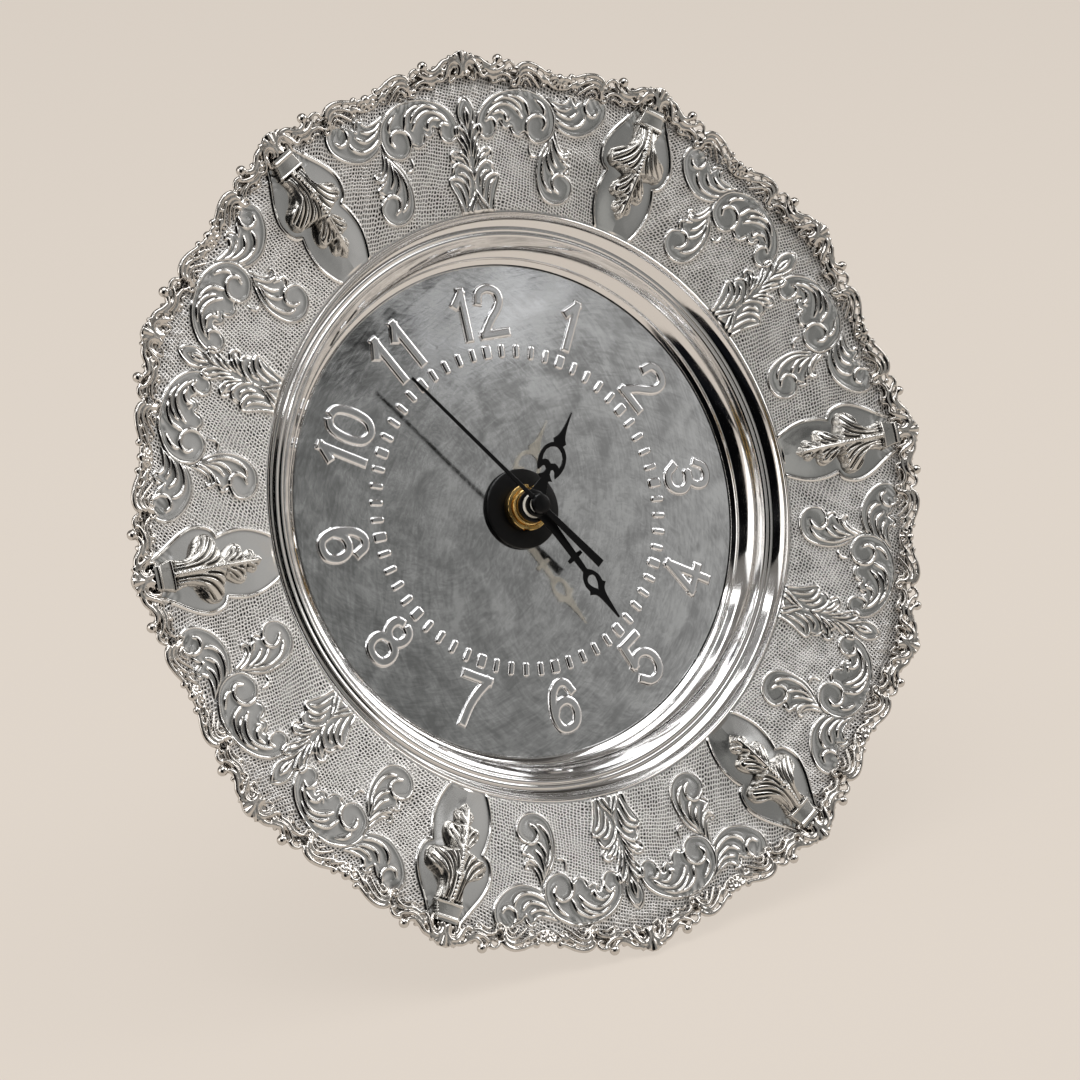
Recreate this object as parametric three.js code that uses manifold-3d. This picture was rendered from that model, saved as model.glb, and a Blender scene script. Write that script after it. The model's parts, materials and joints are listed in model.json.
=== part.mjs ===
// Table clock: a chased metal dish with a cast scroll rim that leans back on a folding wire strut.
// A battery quartz movement is clamped through the middle of the dial by a slotted nut.
//
// The face group has x to the right, y up the face and z out of the dial, whose front is at z = 0.
// It is then leaned back, and stood so that Z = 0 is the table and the origin is under the middle.
import * as THREE from 'three';
import { mergeVertices } from 'three/addons/utils/BufferGeometryUtils.js';
import Module from 'manifold-3d';

const wasm = await Module();
wasm.setup();

// Stance and fits: millimetres, and degrees where a name says so
const LEAN_DEG = 23.3;
const SEAT_GAP = 0.3;
const PRESS_GAP = 0.12;
const RUNNING_GAP = 0.25;
const REST_FLAT = 0.6;

// Dish: floor, bead, inner cove, two reeds, outer cove and sloping border
const SHEET = 0.9;
const DIAL_RADIUS = 53.2;
const DIAL_THICKNESS = 0.8;
const BEAD_WIDTH = 1.3;
const BEAD_HEIGHT = 1.6;
const REED_COUNT = 2;
const REED_WIDTH = 1.2;
const REED_HEIGHT = 0.5;
const REED_LEVEL = 6.6;
const INNER_COVE_WIDTH = 3.3;
const OUTER_COVE_WIDTH = 2.2;
const WELL_DEPTH = 9.1;
const BORDER_WIDTH = 28.8;
const BORDER_SLOPE_DEG = 9.5;

// Chased scrollwork, raised on the border: a palmette at each even hour with the same scrolls on both sides
const PALMETTE_COUNT = 6;
const CHASING_HEIGHT = 0.5;
const CHASING_ROOT = 0.4;

// Cast rim: sections that each carry two crests, a shell at the crest and a knob on each side of it
const RIM_SECTIONS = 6;
const CRESTS_PER_SECTION = 2;
const RIM_OVERLAP = 2.9;
const RIM_OVERHANG = 1.7;
const SCROLL_RISE = 2.2;
const SHELL_RISE = 2.7;
const SHELL_HALF_WIDTH = 5.5;
const KNOB_RISE = 1.5;
const KNOB_OFFSET = 8.6;
const KNOB_HALF_WIDTH = 1.5;
const RIM_LIP = 0.9;
const RIM_HEIGHT = 2.6;
const SHELL_HEIGHT = 1.3;

// Leaf mounts on the border, at the odd hours
const LEAF_COUNT = 6;
const LEAF_LENGTH = 20.8;
const LEAF_HALF_WIDTH = 5.4;
const LEAF_HEIGHT = 3.8;
const LEAF_EDGE = 0.8;
const LEAF_LOBES = 3;
const LEAF_LOBE_DEPTH = 0.9;

// Stack on the hand axis, from the dial outwards
const BUSHING_RADIUS = 3.95;
const BUSHING_WALL = 1.0;
const BUSHING_FLANGE = 6.0;
const FLANGE_THICKNESS = 0.8;
const BUSHING_PROUD = 0.8;
const WASHER_RADIUS = 8.7;
const WASHER_THICKNESS = 1.0;
const NUT_RADIUS = 5.0;
const NUT_THICKNESS = 2.0;
const NUT_SLOT_WIDTH = 1.0;
const NUT_SLOT_DEPTH = 0.8;
const TUBE_WALL = 0.75;
const SECOND_ARBOR_RADIUS = 0.5;
const COLLET_WALL = 0.5;
const COLLET_DROP = 0.7;
const HAND_SHEET = 0.4;
const HAND_SPACING = 1.5;
const CAP_RADIUS = 2.1;
const CAP_HEIGHT = 1.3;

// Hands: lengths from the axis, and where they point, clockwise from twelve
const HOUR_LENGTH = 23;
const HOUR_TURN_DEG = 38;
const MINUTE_LENGTH = 30.5;
const MINUTE_TURN_DEG = 152.6;
const HOUR_HALF_WIDTH = 3.3;
const MINUTE_HALF_WIDTH = 2.5;
const SECOND_LENGTH = 39;
const SECOND_TAIL = 19;
const SECOND_TAIL_HALF_WIDTH = 0.85;
const SECOND_TIP_HALF_WIDTH = 0.15;
const SECOND_TURN_DEG = 322.6;

// Movement case: a tray with a battery bay along its lower edge, and a cover behind the train
const CASE_WALL = 1.2;
const CASE_CORNER = 4;
const BAY_CLEARANCE = 0.5;
const CELL_RADIUS = 7.2;
const CELL_LENGTH = 49.5;
const CELL_NUB_RADIUS = 2.7;
const CELL_NUB_LENGTH = 1.0;
const CELL_SUNK = 0.1;
const SPRING_REACH = 1.5;
const CONTACT_SHEET = 0.4;
const CONTACT_WIDTH = 8;

// Going train: leaves on every pinion, teeth on the wheels, and the distances between axes
const PINION_LEAVES = 6;
const INTERMEDIATE_TEETH = 30;
const SECOND_TEETH = 36;
const THIRD_TEETH = 48;
const CENTRE_TEETH = 45;
const MOTION_TEETH = 18;
const HOUR_TEETH = 24;
const THIRD_DISTANCE = 10;
const THIRD_ANGLE_DEG = 20;
const INTERMEDIATE_DISTANCE = 9.87;
const INTERMEDIATE_ANGLE_DEG = 110;
const ROTOR_DISTANCE = 7.56;
const MOTION_DISTANCE = 10.4;
const MOTION_ANGLE_DEG = 180;
const WHEEL_THICKNESS = 0.8;
const PINION_OVERHANG = 0.1;
const LAYER_GAP = 0.4;
const ARBOR_RADIUS = 0.5;
const MOTION_ARBOR_RADIUS = 0.8;
const ADDENDUM = 0.7;
const DEDENDUM = 1.6;
const TIP_SHARE = 0.2;

// Motor, circuit and setting knob
const MAGNET_RADIUS = 2.8;
const MAGNET_LENGTH = 2.0;
const AIR_GAP = 0.4;
const STATOR_THICKNESS = 1.0;
const STATOR_LEFT = 20;
const STATOR_RIGHT = 13;
const STATOR_MARGIN = 4.5;
const STATOR_LEG = 5;
const STATOR_LEG_REACH = 4.8;
const COIL_RADIUS = 1.5;
const CORE_THICKNESS = 0.8;
const CORE_WIDTH = 2;
const CORE_INSET = 1;
const BOARD_WIDTH = 12;
const BOARD_HEIGHT = 12;
const BOARD_THICKNESS = 0.8;
const CHIP_RADIUS = 2.4;
const CHIP_HEIGHT = 0.9;
const POST_RADIUS = 1.2;
const KNOB_RADIUS = 5.5;
const KNOB_LENGTH = 4.0;
const KNOB_FLUTES = 12;
const KNOB_FLUTE_DEPTH = 0.5;

// Strut bracket and folding wire strut
const BRACKET_SHEET = 1.0;
const BRACKET_STRIP = 24;
const EAR_CLEARANCE = 3.5;
const EAR_HEIGHT = 10;
const HINGE_UP = 38;
const HINGE_BACK = 8;
const STOP_REACH = 7;
const STOP_THICKNESS = 1.0;
const STOP_LENGTH = 3.0;
const WIRE_RADIUS = 1.5;
const WIRE_BEND = 4;
const PIN_BEND = 1.4;
const STRUT_SPLAY_DEG = 13.9;
const STRUT_TAPER_LENGTH = 45.5;
const STRUT_FOOT_HALF = 17;
const FOOT_FLAT = 0.4;
const PIN_PROUD = 1.5;

// Roundness of the turned pieces
const DISH_SIDES = 42;
const ROUND_SIDES = 18;
const SMALL_SIDES = 12;
const WIRE_SIDES = 8;
const COVE_STEPS = 3;
const CORNER_STEPS = 3;
const LEAF_STEPS = 10;

const rad = THREE.MathUtils.degToRad;
const LEAN = rad(LEAN_DEG);
const BORDER_SLOPE = rad(BORDER_SLOPE_DEG);
const FULL_TURN = 2 * Math.PI;

// Levels across the dial, measured along z
const FLOOR_FRONT = -DIAL_THICKNESS - SEAT_GAP;
const FLOOR_BACK = FLOOR_FRONT - SHEET;
const BRACKET_FRONT = FLOOR_BACK - SEAT_GAP;
const BRACKET_BACK = BRACKET_FRONT - BRACKET_SHEET;
const CASE_FRONT = BRACKET_BACK - SEAT_GAP;
const CASE_DEPTH = CASE_WALL + SEAT_GAP + 2 * CELL_RADIUS + CELL_SUNK;
const TRAY_FLOOR = CASE_FRONT - CASE_WALL;
const CASE_BACK = CASE_FRONT - CASE_DEPTH;
const COVER_FRONT = CASE_BACK + CASE_WALL;
const TRAY_EDGE = COVER_FRONT + SEAT_GAP;
const AXIS_HOLE = BUSHING_RADIUS + SEAT_GAP;

const WASHER_FRONT = SEAT_GAP + WASHER_THICKNESS;
const NUT_BACK = WASHER_FRONT + SEAT_GAP;
const NUT_FRONT = NUT_BACK + NUT_THICKNESS;
const BUSHING_FRONT = NUT_FRONT + BUSHING_PROUD;
const HOUR_LEVEL = BUSHING_FRONT + SEAT_GAP + COLLET_DROP;
const MINUTE_LEVEL = HOUR_LEVEL + HAND_SPACING;
const SECOND_LEVEL = MINUTE_LEVEL + HAND_SPACING;

// Radii across the face, from the dial outwards
const DIAL_SEAT_RADIUS = DIAL_RADIUS + SEAT_GAP;
const REEDS_INNER = DIAL_SEAT_RADIUS + BEAD_WIDTH + INNER_COVE_WIDTH;
const REEDS_OUTER = REEDS_INNER + REED_COUNT * REED_WIDTH;
const WELL_RADIUS = REEDS_OUTER + OUTER_COVE_WIDTH;
const BORDER_RADIUS = WELL_RADIUS + BORDER_WIDTH;
const RIM_INNER = BORDER_RADIUS - RIM_OVERLAP;
const RIM_VALLEY = BORDER_RADIUS + RIM_OVERHANG;
const LEAF_OUTER = RIM_INNER - SEAT_GAP;
const LEAF_INNER = LEAF_OUTER - LEAF_LENGTH;

const HOUR_PIPE_RADIUS = BUSHING_RADIUS - BUSHING_WALL - RUNNING_GAP;
const MINUTE_TUBE_RADIUS = HOUR_PIPE_RADIUS - TUBE_WALL - RUNNING_GAP;
const MINUTE_BORE = SECOND_ARBOR_RADIUS + RUNNING_GAP;

// Finishes, each with the colour, roughness and metalness that the eye sees
function finish(color, roughness, metalness) {
  return () => new THREE.MeshStandardMaterial({ color, roughness, metalness });
}

const silver = finish(0xd9d6d0, 0.22, 1);
const dialMetal = finish(0x9aa0a3, 0.28, 1);
const blackPaint = finish(0x101011, 0.4, 0);
const rubber = finish(0x141414, 0.8, 0);
const brass = finish(0xc9a468, 0.3, 1);
const blackPlastic = finish(0x1b1b1c, 0.5, 0);
const gearPlastic = finish(0xe6e3d6, 0.5, 0);
const steel = finish(0xb4b6b8, 0.3, 1);
const magnetMetal = finish(0x54565a, 0.5, 0.6);
const copper = finish(0xb26a3c, 0.4, 1);
const boardGreen = finish(0x2f5a3a, 0.5, 0);
const cellJacket = finish(0x33414f, 0.4, 0.3);

// Solids

/** Merges shared corners, drops flat triangles and turns the faces outwards. */
function weld(geometry) {
  const bare = geometry.clone();
  bare.deleteAttribute('normal');
  bare.deleteAttribute('uv');
  const merged = mergeVertices(bare, 1e-4);
  const position = merged.getAttribute('position');
  const corner = (i) => new THREE.Vector3().fromBufferAttribute(position, i);
  const source = merged.getIndex().array;
  const triangles = [];
  let volume = 0;
  for (let i = 0; i < source.length; i += 3) {
    const [a, b, c] = source.slice(i, i + 3);
    if (a === b || b === c || c === a) continue;
    triangles.push([a, b, c]);
    volume += corner(a).dot(corner(b).cross(corner(c)));
  }
  const facing = volume < 0 ? triangles.map(([a, b, c]) => [a, c, b]) : triangles;
  merged.setIndex(facing.flat());
  return merged;
}

function solidOf(geometry) {
  const welded = weld(geometry);
  return new wasm.Manifold(new wasm.Mesh({
    numProp: 3,
    vertProperties: new Float32Array(welded.getAttribute('position').array),
    triVerts: new Uint32Array(welded.getIndex().array),
  }));
}

function geometryOf(solid) {
  const mesh = solid.getMesh();
  const geometry = new THREE.BufferGeometry();
  geometry.setAttribute('position', new THREE.BufferAttribute(new Float32Array(mesh.vertProperties), 3));
  geometry.setIndex(Array.from(mesh.triVerts));
  return geometry;
}

/** Joins pieces that overlap into one body. */
function join(first, ...others) {
  return geometryOf(others.reduce((body, piece) => body.add(solidOf(piece)), solidOf(first)));
}

/** Cuts the tools out of a body. */
function cut(body, ...tools) {
  return geometryOf(tools.reduce((rest, tool) => rest.subtract(solidOf(tool)), solidOf(body)));
}

/** Skins a row of rings, each with the same number of points, and closes both ends. */
function loft(rings) {
  const size = rings[0].length;
  const index = [];
  for (let row = 0; row + 1 < rings.length; row += 1) {
    for (let i = 0; i < size; i += 1) {
      const next = (i + 1) % size;
      const here = row * size;
      const there = here + size;
      index.push(here + i, here + next, there + next, here + i, there + next, there + i);
    }
  }
  const last = (rings.length - 1) * size;
  for (let i = 1; i + 1 < size; i += 1) {
    index.push(0, i + 1, i, last, last + i, last + i + 1);
  }
  const geometry = new THREE.BufferGeometry();
  geometry.setFromPoints(rings.flat());
  geometry.setIndex(index);
  return weld(geometry);
}

/** A body turned about z from a profile of [radius, level] pairs that closes on itself or on the axis. */
function turned(profile, sides) {
  const points = profile.map(([radius, level]) => new THREE.Vector2(radius, level));
  const onAxis = profile[0][0] === 0 && profile.at(-1)[0] === 0;
  if (!onAxis) points.push(points[0].clone());
  return weld(new THREE.LatheGeometry(points, sides).rotateX(Math.PI / 2));
}

function rod(radius, from, to, sides = SMALL_SIDES) {
  return turned([[0, from], [radius, from], [radius, to], [0, to]], sides);
}

function sleeve(outer, bore, from, to, sides = ROUND_SIDES) {
  return turned([[bore, from], [outer, from], [outer, to], [bore, to]], sides);
}

/** A flat shape in the face plane, from one level to another. */
function slab(shape, from, to, curveSegments = 6) {
  const geometry = new THREE.ExtrudeGeometry(shape, { depth: to - from, bevelEnabled: false, curveSegments });
  return geometry.translate(0, 0, from);
}

function block(left, right, bottom, top, back, front) {
  const geometry = new THREE.BoxGeometry(right - left, top - bottom, front - back);
  return geometry.translate((left + right) / 2, (bottom + top) / 2, (back + front) / 2);
}

/** A rectangle with round corners, given by its four edges. */
function roundedRectangle(left, right, bottom, top, radius) {
  const shape = new THREE.Shape();
  shape.moveTo(left + radius, bottom);
  shape.lineTo(right - radius, bottom);
  shape.absarc(right - radius, bottom + radius, radius, -Math.PI / 2, 0);
  shape.absarc(right - radius, top - radius, radius, 0, Math.PI / 2);
  shape.absarc(left + radius, top - radius, radius, Math.PI / 2, Math.PI);
  shape.absarc(left + radius, bottom + radius, radius, Math.PI, 1.5 * Math.PI);
  return shape;
}

function moved(geometry, [x, y]) {
  return geometry.clone().translate(x, y, 0);
}

/** A point at a distance from a centre, at an angle from the x axis. */
function polar([x, y], distance, angle) {
  return [x + distance * Math.cos(angle), y + distance * Math.sin(angle)];
}

const face = new THREE.Group();

function add(name, geometry, look, parent = face) {
  const welded = weld(geometry);
  welded.computeVertexNormals();
  const mesh = new THREE.Mesh(welded, look());
  mesh.name = name;
  parent.add(mesh);
  return mesh;
}

// Dish and dial

function borderLevel(radius) {
  return WELL_DEPTH + (radius - WELL_RADIUS) * Math.tan(BORDER_SLOPE);
}

/** A hollow quarter curve that leaves its start outwards and reaches its end upwards. */
function cove([r0, z0], [r1, z1]) {
  return Array.from({ length: COVE_STEPS + 1 }, (_, i) => {
    const t = (i / COVE_STEPS) * (Math.PI / 2);
    return [r0 + (r1 - r0) * Math.sin(t), z0 + (z1 - z0) * (1 - Math.cos(t))];
  });
}

/** The line a sheet's thickness behind a profile that runs outwards. */
function behind(line, thickness) {
  return line.map(([r, z], i) => {
    const [ra, za] = line[Math.max(i - 1, 0)];
    const [rb, zb] = line[Math.min(i + 1, line.length - 1)];
    const length = Math.hypot(rb - ra, zb - za);
    return [r + (thickness * (zb - za)) / length, z - (thickness * (rb - ra)) / length];
  });
}

function dishProfile() {
  const beadRadius = BEAD_WIDTH / 2;
  const beadLevel = BEAD_HEIGHT - beadRadius;
  const floor = [[AXIS_HOLE, FLOOR_FRONT], [DIAL_SEAT_RADIUS, FLOOR_FRONT]];
  const innerCove = cove([DIAL_SEAT_RADIUS + BEAD_WIDTH, beadLevel], [REEDS_INNER, REED_LEVEL]);
  const outerCove = cove([REEDS_OUTER, REED_LEVEL], [WELL_RADIUS, WELL_DEPTH]);
  const edge = [BORDER_RADIUS, borderLevel(BORDER_RADIUS)];
  const bead = [Math.PI, Math.PI * 0.75, Math.PI * 0.5, Math.PI * 0.25].map((turn) => [
    DIAL_SEAT_RADIUS + beadRadius + beadRadius * Math.cos(turn),
    beadLevel + beadRadius * Math.sin(turn),
  ]);
  const reeds = [];
  for (let i = 0; i < REED_COUNT; i += 1) {
    const start = REEDS_INNER + i * REED_WIDTH;
    if (i > 0) reeds.push([start, REED_LEVEL]);
    reeds.push([start + REED_WIDTH * 0.3, REED_LEVEL + REED_HEIGHT]);
    reeds.push([start + REED_WIDTH * 0.7, REED_LEVEL + REED_HEIGHT]);
  }
  const front = [...floor, ...bead, ...innerCove, ...reeds, ...outerCove, edge];
  const back = behind([...floor, ...innerCove, ...outerCove, edge], SHEET);
  back[0] = [AXIS_HOLE, FLOOR_BACK];
  return [...front, ...back.reverse()];
}

// Outlines of the raised work, in shares of the way round to the next leaf and out across the border
const SCROLL_ARCH = [
  [0.057, 0.66], [0.138, 0.83], [0.3, 0.885], [0.425, 0.855], [0.492, 0.722], [0.482, 0.59],
  [0.406, 0.528], [0.31, 0.585], [0.2, 0.639], [0.103, 0.552],
];
const SCROLL_SWEEP = [
  [0.499, 0.677], [0.587, 0.622], [0.688, 0.66], [0.759, 0.788], [0.75, 0.87], [0.654, 0.885], [0.468, 0.85],
];
const SCROLL_DROP = [
  [0.473, 0.549], [0.415, 0.354], [0.439, 0.17], [0.537, 0.097], [0.632, 0.153], [0.642, 0.267],
  [0.599, 0.34], [0.599, 0.493], [0.499, 0.61],
];
const PALMETTE_HALF = [
  [0, 0.865], [0.043, 0.753], [0.074, 0.625], [0.05, 0.524], [0.124, 0.458], [0.095, 0.392],
  [0.162, 0.267], [0.107, 0.024], [0, 0.024],
];

function mirroredOutline(outline) {
  return outline.map(([round, out]) => [-round, out]).reverse();
}

/** A raised pad on the border, with its outline turned to the palmette of a number. */
function borderPad(outline, number) {
  const flat = outline.map(([round, out]) => new THREE.Vector2(round, out));
  if (THREE.ShapeUtils.isClockWise(flat)) flat.reverse();
  const sector = FULL_TURN / PALMETTE_COUNT;
  const points = [-CHASING_ROOT, CHASING_HEIGHT].flatMap((rise) => flat.flatMap((point) => {
    const turn = (number + point.x / 2) * sector;
    const radius = WELL_RADIUS + point.y * BORDER_WIDTH;
    return [radius * Math.sin(turn), radius * Math.cos(turn), borderLevel(radius) + rise];
  }));
  const count = flat.length;
  const caps = THREE.ShapeUtils.triangulateShape(flat, []);
  const faces = caps.flatMap(([a, b, c]) => [c, b, a, a + count, b + count, c + count]);
  for (let i = 0; i < count; i += 1) {
    const next = (i + 1) % count;
    faces.push(i, next, next + count, i, next + count, i + count);
  }
  const pad = new THREE.BufferGeometry();
  pad.setAttribute('position', new THREE.Float32BufferAttribute(points, 3));
  return pad.setIndex(faces);
}

function chasedWork() {
  const scrolls = [SCROLL_ARCH, SCROLL_SWEEP, SCROLL_DROP];
  const palmette = [...PALMETTE_HALF, ...mirroredOutline(PALMETTE_HALF).slice(1, -1)];
  const all = [palmette, ...scrolls, ...scrolls.map(mirroredOutline)];
  const numbers = Array.from({ length: PALMETTE_COUNT }, (_, number) => number);
  return numbers.flatMap((number) => all.map((line) => borderPad(line, number)));
}

add('dish', join(turned(dishProfile(), DISH_SIDES), ...chasedWork()), silver);
add('dial', sleeve(DIAL_RADIUS, AXIS_HOLE, -DIAL_THICKNESS, 0, DISH_SIDES), dialMetal);

// Cast rim: one section is lofted across the twelve o'clock seam, then turned into place

const CREST_PITCH = FULL_TURN / (RIM_SECTIONS * CRESTS_PER_SECTION);
const SHELL_ANGLE = SHELL_HALF_WIDTH / RIM_VALLEY;
const KNOB_ANGLE = KNOB_OFFSET / RIM_VALLEY;
const KNOB_HALF_ANGLE = KNOB_HALF_WIDTH / RIM_VALLEY;

function dome(offset, halfWidth) {
  return Math.sqrt(Math.max(0, 1 - (offset / halfWidth) ** 2));
}

function knobSwell(away) {
  return dome(away - KNOB_ANGLE, KNOB_HALF_ANGLE);
}

/** How far the rim reaches from the axis, at an angle away from the nearest crest. */
function rimReach(away) {
  const sweep = Math.cos((away / CREST_PITCH) * Math.PI) ** 2;
  const shell = SHELL_RISE * dome(away, SHELL_ANGLE);
  return RIM_VALLEY + SCROLL_RISE * sweep + shell + KNOB_RISE * knobSwell(away);
}

function rimHeight(away) {
  return RIM_HEIGHT + SHELL_HEIGHT * Math.max(dome(away, SHELL_ANGLE), knobSwell(away));
}

/** One cross-section of the rim, with its underside along the border. */
function rimRing(turn, away) {
  const reach = rimReach(away);
  const height = rimHeight(away);
  const section = [[0, 0], [1, 0], [1, 0.35 * height], [0.85, 0.75 * height],
    [0.55, height], [0.25, 0.75 * height], [0, RIM_LIP]];
  return section.map(([share, rise]) => {
    const radius = RIM_INNER + share * (reach - RIM_INNER);
    const level = borderLevel(radius) + SEAT_GAP + rise;
    return new THREE.Vector3(radius * Math.sin(turn), radius * Math.cos(turn), level);
  });
}

function rimSection() {
  const scroll = (KNOB_ANGLE + KNOB_HALF_ANGLE + CREST_PITCH / 2) / 2;
  const half = [0.5 * SHELL_ANGLE, 0.85 * SHELL_ANGLE, SHELL_ANGLE, KNOB_ANGLE - KNOB_HALF_ANGLE,
    KNOB_ANGLE, KNOB_ANGLE + KNOB_HALF_ANGLE, scroll];
  const stations = [...half.map((away) => -away).reverse(), 0, ...half];
  const endGap = SEAT_GAP / 2 / RIM_INNER;
  const start = (-CRESTS_PER_SECTION * CREST_PITCH) / 2;
  const rings = [rimRing(start + endGap, CREST_PITCH / 2 - endGap)];
  for (let crest = 0; crest < CRESTS_PER_SECTION; crest += 1) {
    const middle = start + (crest + 0.5) * CREST_PITCH;
    if (crest > 0) rings.push(rimRing(middle - CREST_PITCH / 2, CREST_PITCH / 2));
    stations.forEach((offset) => rings.push(rimRing(middle + offset, Math.abs(offset))));
  }
  rings.push(rimRing(-start - endGap, CREST_PITCH / 2 - endGap));
  return loft(rings);
}

// The table, as a thick slab under the leaning face, and the height of its top below the dial's middle
const CREST_REACH = rimReach(0);
const CREST_UNDERSIDE = borderLevel(CREST_REACH) + SEAT_GAP;
const TABLE_LEVEL = -CREST_REACH * Math.cos(LEAN) + CREST_UNDERSIDE * Math.sin(LEAN) + REST_FLAT;
const TABLE_SIZE = 4 * CREST_REACH;

function tableSlab() {
  const thickness = CREST_REACH;
  const geometry = new THREE.BoxGeometry(TABLE_SIZE, TABLE_SIZE, thickness);
  return geometry.translate(0, 0, TABLE_LEVEL - thickness / 2).rotateX(LEAN - Math.PI / 2);
}

const SECTION_PITCH = FULL_TURN / RIM_SECTIONS;
const section = rimSection();
for (let i = 0; i < RIM_SECTIONS; i += 1) {
  const turn = -(i + 0.5) * SECTION_PITCH - CREST_PITCH / 2;
  const group = new THREE.Group();
  group.rotation.z = turn;
  face.add(group);
  const table = tableSlab().rotateZ(-turn);
  add(`rim_section_${i + 1}`, cut(section, table), silver, group);
}

// Leaf mounts: a lobed leaf with a raised midrib, its tip towards the dial

function leafRing(share) {
  const radius = LEAF_INNER + share * LEAF_LENGTH;
  const base = borderLevel(radius) + SEAT_GAP;
  const swell = Math.sin(Math.PI * (0.1 + 0.72 * share));
  const lobes = Math.cos(FULL_TURN * LEAF_LOBES * share);
  const width = LEAF_HALF_WIDTH * swell - LEAF_LOBE_DEPTH * (0.5 + 0.5 * lobes) * swell;
  const crown = LEAF_EDGE + (LEAF_HEIGHT - LEAF_EDGE) * swell;
  const section = [[-1, 0], [1, 0], [1, LEAF_EDGE], [0.55, 0.85 * crown], [0.12, 0.8 * crown],
    [0, crown], [-0.12, 0.8 * crown], [-0.55, 0.85 * crown], [-1, LEAF_EDGE]];
  return section.map(([side, rise]) => new THREE.Vector3(side * width, radius, base + rise));
}

const leaf = loft(Array.from({ length: LEAF_STEPS + 1 }, (_, i) => leafRing(i / LEAF_STEPS)));
for (let i = 0; i < LEAF_COUNT; i += 1) {
  const mesh = add(`leaf_mount_${i + 1}`, leaf, silver);
  mesh.rotation.z = (-(i + 0.5) * FULL_TURN) / LEAF_COUNT;
}

// Washer, nut and threaded bushing on the hand axis

function nutSlot(side) {
  const outer = NUT_RADIUS + SEAT_GAP;
  const geometry = new THREE.BoxGeometry(NUT_SLOT_WIDTH, outer - BUSHING_RADIUS, NUT_SLOT_DEPTH + SEAT_GAP);
  return geometry.translate(
    0,
    (side * (outer + BUSHING_RADIUS)) / 2,
    NUT_FRONT + (SEAT_GAP - NUT_SLOT_DEPTH) / 2,
  );
}

add('rubber_washer', sleeve(WASHER_RADIUS, AXIS_HOLE, SEAT_GAP, WASHER_FRONT), rubber);
const nutRing = sleeve(NUT_RADIUS, BUSHING_RADIUS + PRESS_GAP, NUT_BACK, NUT_FRONT);
add('slotted_nut', cut(nutRing, nutSlot(1), nutSlot(-1)), brass);

const FLANGE_FRONT = TRAY_FLOOR - SEAT_GAP;
const FLANGE_BACK = FLANGE_FRONT - FLANGE_THICKNESS;
const BUSHING_BORE = BUSHING_RADIUS - BUSHING_WALL;
add('threaded_bushing', turned([
  [BUSHING_BORE, FLANGE_BACK], [BUSHING_FLANGE, FLANGE_BACK], [BUSHING_FLANGE, FLANGE_FRONT],
  [BUSHING_RADIUS, FLANGE_FRONT], [BUSHING_RADIUS, BUSHING_FRONT], [BUSHING_BORE, BUSHING_FRONT],
], ROUND_SIDES), brass);

// Hands: each outline is drawn pointing up from its right half, in shares of its half width and length

/** A closed shape from right-hand points [half width, height], mirrored to the left. */
function mirroredShape(half) {
  const left = half.map(([x, y]) => [-x, y]).reverse();
  return new THREE.Shape([...half, ...left].map(([x, y]) => new THREE.Vector2(x, y)));
}

function teardropHole(bottom, top, halfWidth) {
  const hole = new THREE.Path();
  const widest = bottom + halfWidth;
  hole.absarc(0, widest, halfWidth, Math.PI, FULL_TURN);
  hole.lineTo(0, top);
  return hole;
}

/** The minute hand: a tapering stem with a cross-bar, then a pierced teardrop with barbs and a long point. */
function minuteOutline() {
  const shape = mirroredShape([
    [0.58, 0], [0.3, 0.445], [0.8, 0.45], [0.8, 0.475], [0.28, 0.48], [0.24, 0.59], [0.68, 0.625],
    [0.84, 0.68], [0.8, 0.72], [1, 0.745], [0.52, 0.775], [0.36, 0.81], [0.1, 1],
  ].map(([wide, along]) => [wide * MINUTE_HALF_WIDTH, along * MINUTE_LENGTH]));
  shape.holes.push(teardropHole(0.632 * MINUTE_LENGTH, 0.745 * MINUTE_LENGTH, MINUTE_HALF_WIDTH / 2));
  return shape;
}

/** The hour hand: a collar with thorns, an anchor of two hooks that rise into a ring, and a barbed spike. */
function hourOutline() {
  const sized = ([wide, along]) => [wide * HOUR_HALF_WIDTH, along * HOUR_LENGTH];
  const shape = mirroredShape([
    [0.45, 0], [0.36, 0.29], [0.58, 0.3], [0.45, 0.325], [0.23, 0.35], [0.18, 0.39], [0.39, 0.4],
    [0.53, 0.37], [0.7, 0.34], [0.94, 0.42], [1, 0.5], [0.82, 0.6], [0.39, 0.65], [0.48, 0.69],
    [0.26, 0.77], [0.11, 0.86], [0.06, 1],
  ].map(sized));
  const eye = [[0, 0.455], [0.36, 0.475], [0.64, 0.46], [0.71, 0.51], [0.52, 0.59], [0, 0.625]];
  const mirrored = eye.slice(1, -1).map(([wide, along]) => [-wide, along]).reverse();
  shape.holes.push(new THREE.Path([...eye, ...mirrored].map((point) => new THREE.Vector2(...sized(point)))));
  return shape;
}

function secondOutline() {
  return mirroredShape([[SECOND_TAIL_HALF_WIDTH, -SECOND_TAIL], [SECOND_TIP_HALF_WIDTH, SECOND_LENGTH]]);
}

/** A pressed hand: its sheet, joined to a collet that grips a tube. */
function pressedHand(outline, tubeRadius) {
  const bore = tubeRadius + PRESS_GAP;
  const outer = bore + COLLET_WALL;
  const hole = rod(bore, -COLLET_DROP, HAND_SHEET + COLLET_DROP, ROUND_SIDES);
  const body = join(slab(outline, 0, HAND_SHEET), rod(outer, -COLLET_DROP, HAND_SHEET, ROUND_SIDES));
  return cut(body, hole);
}

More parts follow.
